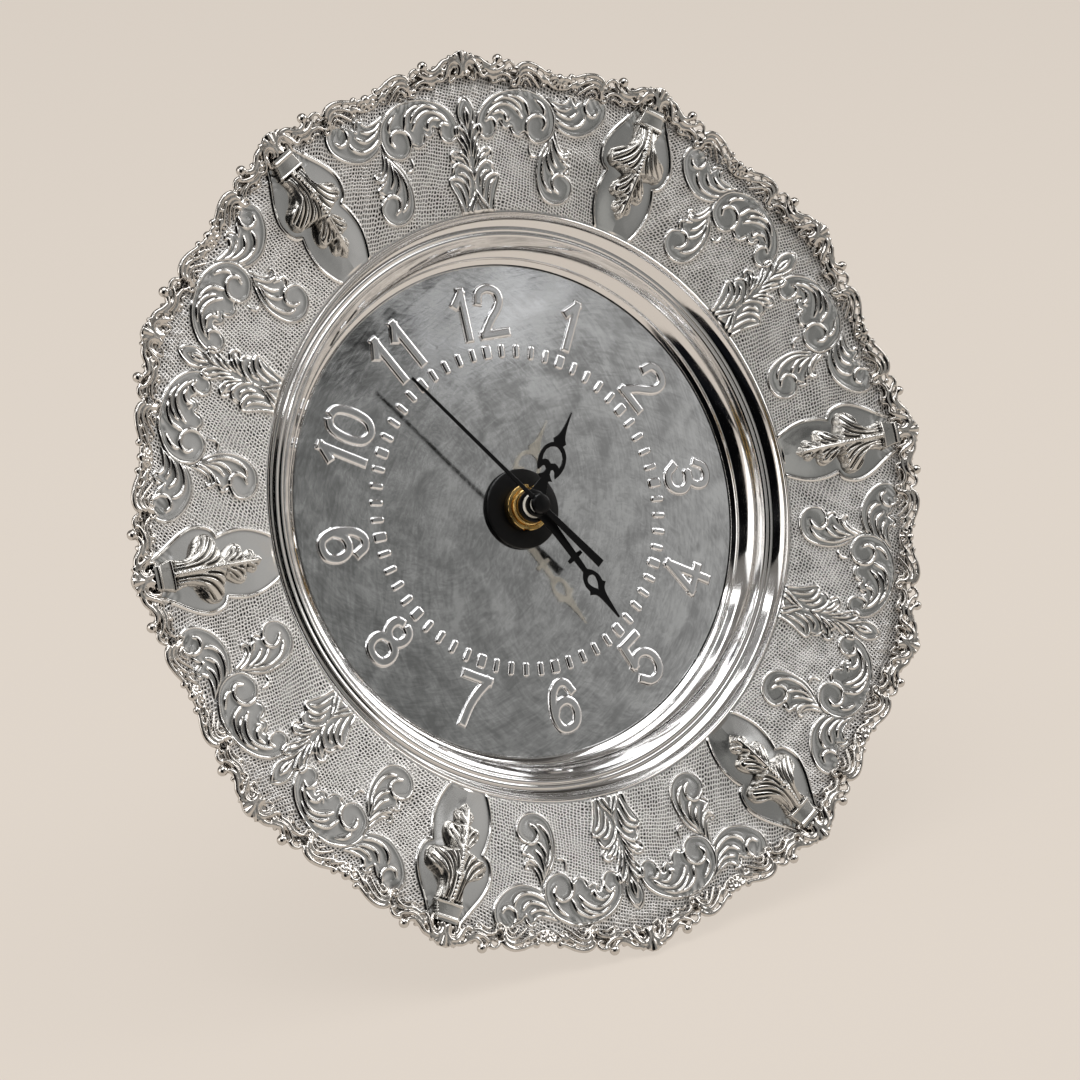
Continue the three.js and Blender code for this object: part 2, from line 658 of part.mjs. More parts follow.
/** The second hand: its sheet, joined to a closed cap with a blind hole for the arbor. */
function cappedHand(outline) {
  const body = join(slab(outline, 0, HAND_SHEET), rod(CAP_RADIUS, 0, CAP_HEIGHT, ROUND_SIDES));
  return cut(body, rod(SECOND_ARBOR_RADIUS + PRESS_GAP, -HAND_SHEET, CAP_HEIGHT / 2 + SEAT_GAP));
}

function addHand(name, geometry, level, turnDeg) {
  const mesh = add(name, geometry, blackPaint);
  mesh.position.z = level;
  mesh.rotation.z = -rad(turnDeg);
}

addHand('hour_hand', pressedHand(hourOutline(), HOUR_PIPE_RADIUS), HOUR_LEVEL, HOUR_TURN_DEG);
addHand('minute_hand', pressedHand(minuteOutline(), MINUTE_TUBE_RADIUS), MINUTE_LEVEL, MINUTE_TURN_DEG);
addHand('second_hand', cappedHand(secondOutline()), SECOND_LEVEL, SECOND_TURN_DEG);

// Going train: axes in the face plane, and one layer behind the next for each wheel and its pinion

const AXIS = [0, 0];
const THIRD_AT = polar(AXIS, THIRD_DISTANCE, rad(THIRD_ANGLE_DEG));
const INTERMEDIATE_AT = polar(AXIS, INTERMEDIATE_DISTANCE, rad(INTERMEDIATE_ANGLE_DEG));
const ROTOR_AT = polar(INTERMEDIATE_AT, ROTOR_DISTANCE, Math.PI / 2);
const MOTION_AT = polar(AXIS, MOTION_DISTANCE, rad(MOTION_ANGLE_DEG));

const LAYER_PITCH = WHEEL_THICKNESS + 2 * PINION_OVERHANG + LAYER_GAP;
const FIRST_LAYER = FLANGE_BACK - SEAT_GAP - PINION_OVERHANG;
const PIVOT_FRONT = TRAY_FLOOR - SEAT_GAP;
const PIVOT_BACK = COVER_FRONT + SEAT_GAP;

/** Front and back level of a layer, counted from the dial side. */
function layer(number) {
  const front = FIRST_LAYER - number * LAYER_PITCH;
  return [front, front - WHEEL_THICKNESS];
}

/** A toothed outline with a tooth, or a gap, in line with an angle. */
function toothedShape(teeth, module, angle, gapThere) {
  const pitch = FULL_TURN / teeth;
  const pitchRadius = (module * teeth) / 2;
  const tip = pitchRadius + ADDENDUM * module;
  const root = pitchRadius - DEDENDUM * module;
  const start = angle + (gapThere ? pitch / 2 : 0);
  const points = [];
  for (let i = 0; i < teeth; i += 1) {
    const middle = start + i * pitch;
    const corners = [[root, -1], [tip, -TIP_SHARE], [tip, TIP_SHARE]];
    corners.forEach(([radius, share]) => {
      const [x, y] = polar(AXIS, radius, middle + (share * pitch) / 2);
      points.push(new THREE.Vector2(x, y));
    });
  }
  return new THREE.Shape(points);
}

/** The module that sets a pinion and a wheel a distance apart. */
function moduleFor(distance, teeth) {
  return (2 * distance) / (PINION_LEAVES + teeth);
}

function angleBetween([xa, ya], [xb, yb]) {
  return Math.atan2(yb - ya, xb - xa);
}

/** A wheel that stands at an axis, with a gap facing the pinion that drives it. */
function wheel(teeth, distance, at, pinionAt, level) {
  const [front, back] = layer(level);
  const shape = toothedShape(teeth, moduleFor(distance, teeth), angleBetween(at, pinionAt), true);
  return moved(slab(shape, back, front), at);
}

/** A pinion that stands at an axis, with a leaf facing the wheel that it drives. */
function pinion(wheelTeeth, distance, at, wheelAt, level) {
  const [front, back] = layer(level);
  const module = moduleFor(distance, wheelTeeth);
  const shape = toothedShape(PINION_LEAVES, module, angleBetween(at, wheelAt), false);
  return moved(slab(shape, back - PINION_OVERHANG, front + PINION_OVERHANG), at);
}

const HOUR_LAYER = 0;
const MOTION_LAYER = 1;
const CENTRE_LAYER = 2;
const THIRD_LAYER = 3;
const SECOND_LAYER = 4;
const INTERMEDIATE_LAYER = 5;

const hourWheel = join(
  wheel(HOUR_TEETH, MOTION_DISTANCE, AXIS, MOTION_AT, HOUR_LAYER),
  rod(HOUR_PIPE_RADIUS, layer(HOUR_LAYER)[1], HOUR_LEVEL + HAND_SHEET, ROUND_SIDES),
);
const HOUR_BORE = HOUR_PIPE_RADIUS - TUBE_WALL;
const throughHour = rod(HOUR_BORE, layer(MOTION_LAYER)[1], HOUR_LEVEL + HAND_SPACING, ROUND_SIDES);
add('hour_wheel', cut(hourWheel, throughHour), gearPlastic);

const centreWheel = join(
  wheel(CENTRE_TEETH, THIRD_DISTANCE, AXIS, THIRD_AT, CENTRE_LAYER),
  pinion(MOTION_TEETH, MOTION_DISTANCE, AXIS, MOTION_AT, MOTION_LAYER),
  rod(MINUTE_TUBE_RADIUS, layer(CENTRE_LAYER)[1], MINUTE_LEVEL + HAND_SHEET, ROUND_SIDES),
);
const throughCentre = rod(MINUTE_BORE, layer(THIRD_LAYER)[1], MINUTE_LEVEL + HAND_SPACING);
add('centre_wheel', cut(centreWheel, throughCentre), gearPlastic);

add('second_wheel', join(
  wheel(SECOND_TEETH, INTERMEDIATE_DISTANCE, AXIS, INTERMEDIATE_AT, SECOND_LAYER),
  pinion(THIRD_TEETH, THIRD_DISTANCE, AXIS, THIRD_AT, THIRD_LAYER),
  rod(SECOND_ARBOR_RADIUS, PIVOT_BACK, SECOND_LEVEL + CAP_HEIGHT / 2),
), gearPlastic);

const arbor = rod(ARBOR_RADIUS, PIVOT_BACK, PIVOT_FRONT);
add('third_wheel', join(
  wheel(THIRD_TEETH, THIRD_DISTANCE, THIRD_AT, AXIS, THIRD_LAYER),
  pinion(CENTRE_TEETH, THIRD_DISTANCE, THIRD_AT, AXIS, CENTRE_LAYER),
  moved(arbor, THIRD_AT),
), gearPlastic);

add('intermediate_wheel', join(
  wheel(INTERMEDIATE_TEETH, ROTOR_DISTANCE, INTERMEDIATE_AT, ROTOR_AT, INTERMEDIATE_LAYER),
  pinion(SECOND_TEETH, INTERMEDIATE_DISTANCE, INTERMEDIATE_AT, AXIS, SECOND_LAYER),
  moved(arbor, INTERMEDIATE_AT),
), gearPlastic);

const MAGNET_FRONT = layer(INTERMEDIATE_LAYER)[1] - PINION_OVERHANG - LAYER_GAP;
const MAGNET_BACK = MAGNET_FRONT - MAGNET_LENGTH;
add('rotor', join(
  pinion(INTERMEDIATE_TEETH, ROTOR_DISTANCE, ROTOR_AT, INTERMEDIATE_AT, INTERMEDIATE_LAYER),
  moved(rod(MAGNET_RADIUS, MAGNET_BACK, MAGNET_FRONT, ROUND_SIDES), ROTOR_AT),
  moved(arbor, ROTOR_AT),
), magnetMetal);

const KNOB_FRONT = CASE_BACK - SEAT_GAP;
const KNOB_BACK = KNOB_FRONT - KNOB_LENGTH;
const MOTION_ARBOR_BACK = (KNOB_FRONT + KNOB_BACK) / 2;
add('motion_wheel', join(
  wheel(MOTION_TEETH, MOTION_DISTANCE, MOTION_AT, AXIS, MOTION_LAYER),
  pinion(HOUR_TEETH, MOTION_DISTANCE, MOTION_AT, AXIS, HOUR_LAYER),
  moved(rod(MOTION_ARBOR_RADIUS, MOTION_ARBOR_BACK, PIVOT_FRONT), MOTION_AT),
), gearPlastic);

/** The fluted finger knob, with a blind hole for the motion wheel's arbor. */
function settingKnob() {
  const rim = Array.from({ length: 2 * KNOB_FLUTES }, (_, i) => {
    const radius = KNOB_RADIUS - (i % 2) * KNOB_FLUTE_DEPTH;
    return new THREE.Vector2(...polar(AXIS, radius, (i * Math.PI) / KNOB_FLUTES));
  });
  const body = slab(new THREE.Shape(rim), KNOB_BACK, KNOB_FRONT);
  return cut(body, rod(MOTION_ARBOR_RADIUS + PRESS_GAP, MOTION_ARBOR_BACK - SEAT_GAP, KNOB_FRONT + SEAT_GAP));
}

add('setting_knob', moved(settingKnob(), MOTION_AT), blackPlastic);

// Motor: stator round the rotor, coil on its core, and the circuit board

const STATOR_FRONT = (MAGNET_FRONT + MAGNET_BACK + STATOR_THICKNESS) / 2;
const STATOR_BACK = STATOR_FRONT - STATOR_THICKNESS;
const STATOR_BOTTOM = ROTOR_AT[1] - STATOR_MARGIN;
const STATOR_TOP = ROTOR_AT[1] + STATOR_MARGIN;
const STATOR_LEG_TOP = STATOR_TOP + STATOR_LEG_REACH;
const CORE_AT = STATOR_TOP + STATOR_LEG_REACH / 2;

function statorShape() {
  const shape = new THREE.Shape([
    [-STATOR_LEFT, STATOR_BOTTOM], [STATOR_RIGHT, STATOR_BOTTOM], [STATOR_RIGHT, STATOR_LEG_TOP],
    [STATOR_RIGHT - STATOR_LEG, STATOR_LEG_TOP], [STATOR_RIGHT - STATOR_LEG, STATOR_TOP],
    [STATOR_LEG - STATOR_LEFT, STATOR_TOP], [STATOR_LEG - STATOR_LEFT, STATOR_LEG_TOP],
    [-STATOR_LEFT, STATOR_LEG_TOP],
  ].map(([x, y]) => new THREE.Vector2(x, y)));
  const hole = new THREE.Path();
  hole.absarc(ROTOR_AT[0], ROTOR_AT[1], MAGNET_RADIUS + AIR_GAP, 0, FULL_TURN);
  shape.holes.push(hole);
  return shape;
}

add('stator', slab(statorShape(), STATOR_BACK, STATOR_FRONT), steel);

const CORE_FRONT = STATOR_BACK - SEAT_GAP;
const CORE_BACK = CORE_FRONT - CORE_THICKNESS;
const coilLeft = STATOR_LEG - STATOR_LEFT + SEAT_GAP;
const coilRight = STATOR_RIGHT - STATOR_LEG - SEAT_GAP;
const winding = rod(COIL_RADIUS, coilLeft, coilRight).rotateY(Math.PI / 2);
add('coil', join(
  winding.translate(0, CORE_AT, (CORE_FRONT + CORE_BACK) / 2),
  block(CORE_INSET - STATOR_LEFT, STATOR_RIGHT - CORE_INSET, CORE_AT - CORE_WIDTH / 2,
    CORE_AT + CORE_WIDTH / 2, CORE_BACK, CORE_FRONT),
), copper);

const CELL_ROOM = CELL_LENGTH + CELL_NUB_LENGTH + 2 * SEAT_GAP;
const CAVITY_HALF = (CELL_ROOM + SPRING_REACH + CONTACT_SHEET + 2 * SEAT_GAP) / 2;
const CASE_HALF = CAVITY_HALF + CASE_WALL;
const CAVITY_CORNER = CASE_CORNER - CASE_WALL;
const BOARD_RIGHT = CAVITY_HALF - SEAT_GAP;
const BOARD_LEFT = BOARD_RIGHT - BOARD_WIDTH;
const BOARD_TOP = CAVITY_HALF - CAVITY_CORNER;
const BOARD_BOTTOM = BOARD_TOP - BOARD_HEIGHT;
const BOARD_MIDDLE = [(BOARD_LEFT + BOARD_RIGHT) / 2, (BOARD_BOTTOM + BOARD_TOP) / 2];
add('circuit_board', join(
  block(BOARD_LEFT, BOARD_RIGHT, BOARD_BOTTOM, BOARD_TOP, STATOR_BACK, STATOR_BACK + BOARD_THICKNESS),
  moved(rod(CHIP_RADIUS, STATOR_BACK - CHIP_HEIGHT, STATOR_BACK + BOARD_THICKNESS / 2), BOARD_MIDDLE),
), boardGreen);

// Movement case

const BAY_BOTTOM = -CAVITY_HALF;
const BAY_TOP = BAY_BOTTOM + 2 * (CELL_RADIUS + BAY_CLEARANCE);
const TRAIN_BOTTOM = BAY_TOP + CASE_WALL;

function movementTray() {
  const outline = roundedRectangle(-CASE_HALF, CASE_HALF, -CASE_HALF, CASE_HALF, CASE_CORNER);
  const shell = slab(outline, TRAY_EDGE, CASE_FRONT, CORNER_STEPS);
  const open = TRAY_EDGE - CASE_WALL;
  const cavity = roundedRectangle(-CAVITY_HALF, CAVITY_HALF, TRAIN_BOTTOM, CAVITY_HALF, CAVITY_CORNER);
  const train = slab(cavity, open, TRAY_FLOOR, CORNER_STEPS);
  const bay = block(-CAVITY_HALF, CAVITY_HALF, BAY_BOTTOM, BAY_TOP, open, TRAY_FLOOR);
  const hole = rod(AXIS_HOLE, TRAY_FLOOR - CASE_WALL, CASE_FRONT + CASE_WALL, ROUND_SIDES);
  const postFoot = TRAY_FLOOR + CASE_WALL / 2;
  const statorPosts = [POST_RADIUS - STATOR_LEFT, STATOR_RIGHT - POST_RADIUS].map((x) => (
    moved(rod(POST_RADIUS, STATOR_FRONT + SEAT_GAP, postFoot), [x, STATOR_BOTTOM + POST_RADIUS])
  ));
  const boardPost = moved(rod(POST_RADIUS, STATOR_BACK + BOARD_THICKNESS + SEAT_GAP, postFoot), BOARD_MIDDLE);
  return join(cut(shell, train, bay, hole), ...statorPosts, boardPost);
}

add('movement_tray', movementTray(), blackPlastic);

function movementCover() {
  const bottom = BAY_TOP + SEAT_GAP;
  const outline = roundedRectangle(-CASE_HALF, CASE_HALF, bottom, CASE_HALF, CASE_CORNER);
  const plate = slab(outline, CASE_BACK, COVER_FRONT, CORNER_STEPS);
  const knobHole = rod(MOTION_ARBOR_RADIUS + RUNNING_GAP, CASE_BACK - SEAT_GAP, COVER_FRONT + SEAT_GAP);
  return cut(plate, moved(knobHole, MOTION_AT));
}

add('movement_cover', movementCover(), blackPlastic);

// Battery, lying across the bay with its plus end to the right, and its two contacts

const CELL_UP = (BAY_BOTTOM + BAY_TOP) / 2;
const CELL_LEVEL = TRAY_FLOOR - SEAT_GAP - CELL_RADIUS;
const PLUS_FACE = CAVITY_HALF - SEAT_GAP - CONTACT_SHEET;
const CELL_RIGHT = PLUS_FACE - SEAT_GAP - CELL_NUB_LENGTH;
const CELL_LEFT = CELL_RIGHT - CELL_LENGTH;

const cell = turned([
  [0, CELL_LEFT], [CELL_RADIUS, CELL_LEFT], [CELL_RADIUS, CELL_RIGHT], [CELL_NUB_RADIUS, CELL_RIGHT],
  [CELL_NUB_RADIUS, CELL_RIGHT + CELL_NUB_LENGTH], [0, CELL_RIGHT + CELL_NUB_LENGTH],
], ROUND_SIDES).rotateY(Math.PI / 2);
add('battery', cell.translate(0, CELL_UP, CELL_LEVEL), cellJacket);

const contactBottom = CELL_UP - CONTACT_WIDTH / 2;
const contactTop = CELL_UP + CONTACT_WIDTH / 2;
const contactBack = CELL_LEVEL - CONTACT_WIDTH / 2;
const contactFront = TRAY_FLOOR - SEAT_GAP;
add('plus_contact',
  block(PLUS_FACE, PLUS_FACE + CONTACT_SHEET, contactBottom, contactTop, contactBack, contactFront), steel);

/** The minus contact: a strip down the bay's end wall that bends back on itself to press on the cell. */
function minusContact() {
  const wall = -CAVITY_HALF + SEAT_GAP;
  const crown = CELL_LEFT - SEAT_GAP;
  const outline = [
    [wall, contactFront], [wall + CONTACT_SHEET, contactFront],
    [wall + CONTACT_SHEET, contactBack + CONTACT_SHEET], [crown - CONTACT_SHEET, CELL_LEVEL],
    [crown, CELL_LEVEL], [wall + CONTACT_SHEET, contactBack - CONTACT_SHEET], [wall, contactBack],
  ].map(([x, z]) => new THREE.Vector2(x, z));
  const depth = CONTACT_WIDTH;
  const strip = new THREE.ExtrudeGeometry(new THREE.Shape(outline), { depth, bevelEnabled: false });
  return strip.rotateX(Math.PI / 2).translate(0, contactTop, 0);
}

add('minus_contact', minusContact(), steel);

// Strut bracket: a strip clamped behind the dish floor, with an ear and a stop at each side

const HINGE_LEVEL = -HINGE_BACK;
const HINGE_HEIGHT = HINGE_UP * Math.cos(LEAN) + HINGE_LEVEL * Math.sin(LEAN);
const FOOT_HEIGHT = TABLE_LEVEL + WIRE_RADIUS - FOOT_FLAT;
const STRUT_SPLAY = rad(STRUT_SPLAY_DEG);
const STRUT_LENGTH = (HINGE_HEIGHT - FOOT_HEIGHT) / Math.cos(STRUT_SPLAY);
const STRUT_SHOULDER = STRUT_LENGTH - STRUT_TAPER_LENGTH;
const STRUT_OPEN = LEAN + STRUT_SPLAY;
const EAR_OFFSET = CASE_HALF + EAR_CLEARANCE;
const EAR_OUTER = EAR_OFFSET + BRACKET_SHEET;
const ARM_OFFSET = EAR_OUTER + SEAT_GAP + WIRE_RADIUS;

/** Places what is drawn with the arm along -y and its hinge at the origin at the strut's open angle. */
function atHinge(geometry) {
  return geometry.rotateX(STRUT_OPEN).translate(0, HINGE_UP, HINGE_LEVEL);
}

function bracketEar(side) {
  const half = EAR_HEIGHT / 2;
  const outline = new THREE.Shape([
    [HINGE_UP - half, BRACKET_BACK], [HINGE_UP + half, BRACKET_BACK], [HINGE_UP + half, HINGE_LEVEL - half],
    [HINGE_UP - 1.6 * half, HINGE_LEVEL - 2 * half], [HINGE_UP - 2 * half, HINGE_LEVEL - half],
  ].map(([y, z]) => new THREE.Vector2(y, z)));
  const sheet = new THREE.ExtrudeGeometry(outline, { depth: BRACKET_SHEET, bevelEnabled: false });
  const upright = new THREE.Matrix4().makeBasis(
    new THREE.Vector3(0, 1, 0), new THREE.Vector3(0, 0, 1), new THREE.Vector3(1, 0, 0),
  );
  const left = side > 0 ? EAR_OFFSET : -EAR_OUTER;
  return sheet.applyMatrix4(upright).translate(left, 0, 0);
}

function bracketStop(side) {
  const middle = STOP_REACH;
  const near = WIRE_RADIUS + SEAT_GAP;
  const outer = ARM_OFFSET + WIRE_RADIUS;
  const ends = [side * EAR_OFFSET, side * outer].sort((a, b) => a - b);
  return atHinge(block(ends[0], ends[1], -middle - STOP_LENGTH / 2, -middle + STOP_LENGTH / 2,
    -near - STOP_THICKNESS, -near));
}

function strutBracket() {
  const half = EAR_HEIGHT / 2;
  const strip = block(-BRACKET_STRIP / 2, BRACKET_STRIP / 2, -BRACKET_STRIP / 2, HINGE_UP, BRACKET_BACK,
    BRACKET_FRONT);
  const bar = block(-EAR_OUTER, EAR_OUTER, HINGE_UP - half, HINGE_UP + half, BRACKET_BACK, BRACKET_FRONT);
  const ears = [-1, 1].flatMap((side) => {
    const left = side > 0 ? EAR_OFFSET : -EAR_OUTER;
    const right = left + BRACKET_SHEET;
    const root = block(left, right, HINGE_UP - half, HINGE_UP + half, HINGE_LEVEL, BRACKET_FRONT);
    return [bracketEar(side), root, bracketStop(side)];
  });
  const axisHole = rod(AXIS_HOLE, BRACKET_BACK - SEAT_GAP, BRACKET_FRONT + SEAT_GAP, ROUND_SIDES);
  const pinHole = rod(WIRE_RADIUS + RUNNING_GAP, -2 * EAR_OUTER, 2 * EAR_OUTER).rotateY(Math.PI / 2);
  return cut(join(strip, bar, ...ears), axisHole, pinHole.translate(0, HINGE_UP, HINGE_LEVEL));
}

add('strut_bracket', strutBracket(), steel);

/** Middle line of the right half of the strut, from its pin down to the middle of its foot, as [x, down]. */
function strutHalfLine() {
  const bend = (reach, [x, down], [inX, inDown], [outX, outDown]) => [0, 0.33, 0.67, 1].map((t) => [
    x + reach * ((1 - t) ** 2 * inX + t ** 2 * outX),
    down + reach * ((1 - t) ** 2 * inDown + t ** 2 * outDown),
  ]);
  const slant = new THREE.Vector2(STRUT_FOOT_HALF - ARM_OFFSET, STRUT_LENGTH - STRUT_SHOULDER).normalize();
  return [
    [EAR_OFFSET - PIN_PROUD, 0],
    ...bend(PIN_BEND, [ARM_OFFSET, 0], [-1, 0], [0, 1]),
    ...bend(WIRE_BEND, [ARM_OFFSET, STRUT_SHOULDER], [0, -1], [slant.x, slant.y]),
    ...bend(WIRE_BEND, [STRUT_FOOT_HALF, STRUT_LENGTH], [-slant.x, -slant.y], [-1, 0]),
  ];
}

/** A round wire along a flat line, with mitred bends. */
function bentWire(line) {
  return loft(line.map(([x, down], i) => {
    const [xa, da] = line[Math.max(i - 1, 0)];
    const [xb, db] = line[Math.min(i + 1, line.length - 1)];
    const along = new THREE.Vector2(xb - xa, db - da).normalize();
    return Array.from({ length: WIRE_SIDES }, (_, k) => {
      const turn = ((k + 0.5) * FULL_TURN) / WIRE_SIDES;
      const aside = WIRE_RADIUS * Math.cos(turn);
      return new THREE.Vector3(x - aside * along.y, -(down + aside * along.x), WIRE_RADIUS * Math.sin(turn));
    });
  }));
}

const halfLine = strutHalfLine();
const wholeLine = [...halfLine, ...halfLine.map(([x, down]) => [-x, down]).reverse()];
add('wire_strut', cut(atHinge(bentWire(wholeLine)), tableSlab()), steel);

// The whole clock, leaned back and stood on the table with the origin under its middle
face.rotation.x = Math.PI / 2 - LEAN;
const clock = new THREE.Group();
clock.add(face);
clock.updateMatrixWorld(true);
const box = new THREE.Box3().setFromObject(clock, true);
const middle = box.getCenter(new THREE.Vector3());
face.position.set(-middle.x, -middle.y, -box.min.z);
clock.updateMatrixWorld(true);

export default clock;
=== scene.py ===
"""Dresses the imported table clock.

A chased, silver-plated dish with a cast scroll rim and six leaf mounts leans back on a folding wire strut.
Its dial carries embossed numbers and black hands, and a battery movement is clamped behind it.
"""
import json
import logging
import math
from collections.abc import Sequence
from dataclasses import dataclass
from enum import Enum

import bpy
import numpy as np
from mathutils import Matrix, Vector


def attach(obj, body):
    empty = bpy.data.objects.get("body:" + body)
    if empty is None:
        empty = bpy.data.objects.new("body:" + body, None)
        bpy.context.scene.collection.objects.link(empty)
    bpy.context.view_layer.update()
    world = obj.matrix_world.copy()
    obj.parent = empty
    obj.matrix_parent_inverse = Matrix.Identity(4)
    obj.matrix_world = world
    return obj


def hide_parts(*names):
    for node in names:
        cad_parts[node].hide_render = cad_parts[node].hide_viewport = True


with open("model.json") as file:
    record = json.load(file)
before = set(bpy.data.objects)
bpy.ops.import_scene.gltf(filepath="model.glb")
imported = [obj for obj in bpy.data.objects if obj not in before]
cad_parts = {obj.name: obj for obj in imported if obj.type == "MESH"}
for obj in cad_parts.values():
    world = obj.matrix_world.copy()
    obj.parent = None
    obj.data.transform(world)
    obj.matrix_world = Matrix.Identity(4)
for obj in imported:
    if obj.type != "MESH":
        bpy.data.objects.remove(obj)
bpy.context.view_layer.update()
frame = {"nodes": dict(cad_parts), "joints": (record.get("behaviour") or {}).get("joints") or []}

MM = 0.001
FULL_TURN = 2 * math.pi
Point = tuple[float, float]
Triple = tuple[float, float, float]
Line = tuple[Point, ...]
Array = np.ndarray
Tree = bpy.types.NodeTree
Node = bpy.types.Node
Socket = bpy.types.NodeSocket
Feed = Node | Socket
# Where most values of a noise texture lie
NOISE_SPAN: Point = (0.3, 0.7)
# Length of one ring of a wave texture at scale 1
WAVE_LENGTH = FULL_TURN / 20
# Edges that bend more than this stay crisp, or none at all
CRISP_DEG = 40.0
ALL_SMOOTH_DEG = 180.0
log = logging.getLogger("clock")


class Body(Enum):
    """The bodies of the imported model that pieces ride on."""

    CLOCK = "clock"
    SECONDS = "seconds"
    MINUTES = "minutes"
    HOURS = "hours"
    STRUT = "strut"
    CELL = "cell"


class Slot(Enum):
    """The record's material slots."""

    DISH = "silver_dish"
    RIM = "silver_rim"
    LEAF = "silver_leaf"
    DIAL = "dial_metal"
    HAND = "hand_black"
    RUBBER = "rubber_black"
    BRASS = "brass"
    CELL = "cell_jacket"
    STRUT = "strut_steel"


def srgb(code: str) -> tuple[float, float, float, float]:
    """Turns an sRGB hex colour to a linear one.

    Args:
        code: The colour as "#RRGGBB".

    Returns:
        Linear red, green, blue and a full alpha.
    """
    shares = [int(code[i:i + 2], 16) / 255 for i in (1, 3, 5)]
    red, green, blue = (s / 12.92 if s <= 0.04045 else ((s + 0.055) / 1.055) ** 2.4 for s in shares)
    return red, green, blue, 1.0


def per_mm(size: float) -> float:
    """How often a pattern of this size in millimetres repeats in a metre."""
    return 1 / (size * MM)


def linked(name: str, data: bpy.types.ID) -> bpy.types.Object:
    """Puts a new object in the scene.

    Args:
        name: The object's name.
        data: What it holds.

    Returns:
        The object.
    """
    made = bpy.data.objects.new(name, data)
    bpy.context.scene.collection.objects.link(made)
    return made


def emptied(owner: bpy.types.Material | bpy.types.World) -> Tree:
    """Clears the nodes of a new material or world.

    Args:
        owner: The material or world.

    Returns:
        Its empty node tree.
    """
    owner.use_nodes = True
    owner.node_tree.nodes.clear()
    return owner.node_tree


def feed(tree: Tree, source: Feed, socket: Socket) -> None:
    """Links one node to another.

    Args:
        tree: The tree that both are in.
        source: The output to link, or a node whose first output in use is linked.
        socket: The input to feed.
    """
    if isinstance(source, Node):
        source = next(output for output in source.outputs if output.enabled)
    tree.links.new(source, socket)


def add_node(tree: Tree, kind: str, inputs: dict | None = None, **settings: object) -> Node:
    """Adds one shader node with its settings and links.

    Args:
        tree: The node tree to add to.
        kind: The node's type name, without its prefix.
        inputs: Socket name or number, with the value it takes or the node or output that feeds it.
        settings: The node's own properties.

    Returns:
        The new node.
    """
    node = tree.nodes.new("ShaderNode" + kind)
    for name, value in settings.items():
        setattr(node, name, value)
    for socket, value in (inputs or {}).items():
        if isinstance(value, (Node, Socket)):
            feed(tree, value, node.inputs[socket])
        else:
            node.inputs[socket].default_value = value
    return node


@dataclass
class Form:
    """A mesh in the making: points in millimetres on the face, and faces that count them."""

    points: Array
    faces: list[tuple[int, ...]]

    def spun(self, degrees: float) -> "Form":
        """The form turned clockwise about the hand axis."""
        turn = math.radians(degrees)
        cos, sin = math.cos(turn), math.sin(turn)
        return Form(self.points @ np.array([[cos, -sin, 0], [sin, cos, 0], [0, 0, 1]]), self.faces)

    def moved(self, x: float, y: float, z: float) -> "Form":
        """The form shifted across the face."""
        return Form(self.points + np.array([x, y, z]), self.faces)

    def mirrored(self) -> "Form":
        """The form with left and right exchanged, and its faces still outwards."""
        return Form(self.points * np.array([-1, 1, 1]), [tuple(reversed(face)) for face in self.faces])


def joined(forms: Sequence[Form]) -> Form:
    """Lays several forms into one.

    Args:
        forms: The forms, which may overlap.

    Returns:
        One form with all their points and faces.
    """
    faces, start = [], 0
    for form in forms:
        faces.extend(tuple(start + i for i in face) for face in form.faces)
        start += len(form.points)
    return Form(np.vstack([form.points for form in forms]), faces)


def smooth_line(points: Sequence[Sequence[float]], steps: int = 8) -> Array:
    """Draws a smooth line through points.

    Args:
        points: The points it passes through.
        steps: Pieces between two points.

    Returns:
        The points of the line, one row each.
    """
    given = np.asarray(points, float)
    given = np.vstack([2 * given[0] - given[1], given, 2 * given[-1] - given[-2]])
    t = np.linspace(0, 1, steps, endpoint=False)[:, None]
    runs = [
        0.5 * (2 * b + (c - a) * t + (2 * a - 5 * b + 4 * c - d) * t**2 + (3 * b - a - 3 * c + d) * t**3)
        for a, b, c, d in zip(given, given[1:], given[2:], given[3:])
    ]
    return np.vstack([*runs, given[-2][None]])


def line_distance(at: Array, line: Array) -> tuple[Array, Array]:
    """Measures points against a line.

    Args:
        at: The points, one row each.
        line: The line's points.

    Returns:
        Each point's distance from the line, and how far from its nearer end the closest place is.
    """
    lengths = np.hypot(*np.diff(line, axis=0).T)
    starts = np.concatenate([[0], np.cumsum(lengths)])
    best = np.full(len(at), 1e9)
    along = np.zeros(len(at))
    for start, end, length, passed in zip(line, line[1:], lengths, starts):
        run = end - start
        share = np.clip(((at - start) @ run) / max(length, 1e-9) ** 2, 0, 1)
        away = np.hypot(*(at - start - share[:, None] * run).T)
        closer = away < best
        best[closer] = away[closer]
        along[closer] = passed + share[closer] * length
    return best, np.minimum(along, starts[-1] - along)


def within(at: Array, outline: Array) -> Array:
    """Finds the points inside a closed outline.

    Args:
        at: The points, one row each.
        outline: The outline's points.

    Returns:
        True for each point that lies inside.
    """
    inside = np.zeros(len(at), bool)
    for (xa, ya), (xb, yb) in zip(outline, np.roll(outline, -1, axis=0)):
        if ya != yb:
            crosses = (ya > at[:, 1]) != (yb > at[:, 1])
            inside ^= crosses & (at[:, 0] < xa + (xb - xa) * (at[:, 1] - ya) / (yb - ya))
    return inside


def eased(share: Array) -> Array:
    """A soft step from 0 to 1."""
    share = np.clip(share, 0, 1)
    return share * share * (3 - 2 * share)


def grown(away: Array, share: float, reach: float) -> Array:
    """Grows softly from a share at 0 to the whole at this reach."""
    return share + (1 - share) * eased(away / reach)


def between(values: Array, span: Point) -> Array:
    """Which values lie inside a span."""
    return (values > span[0]) & (values < span[1])


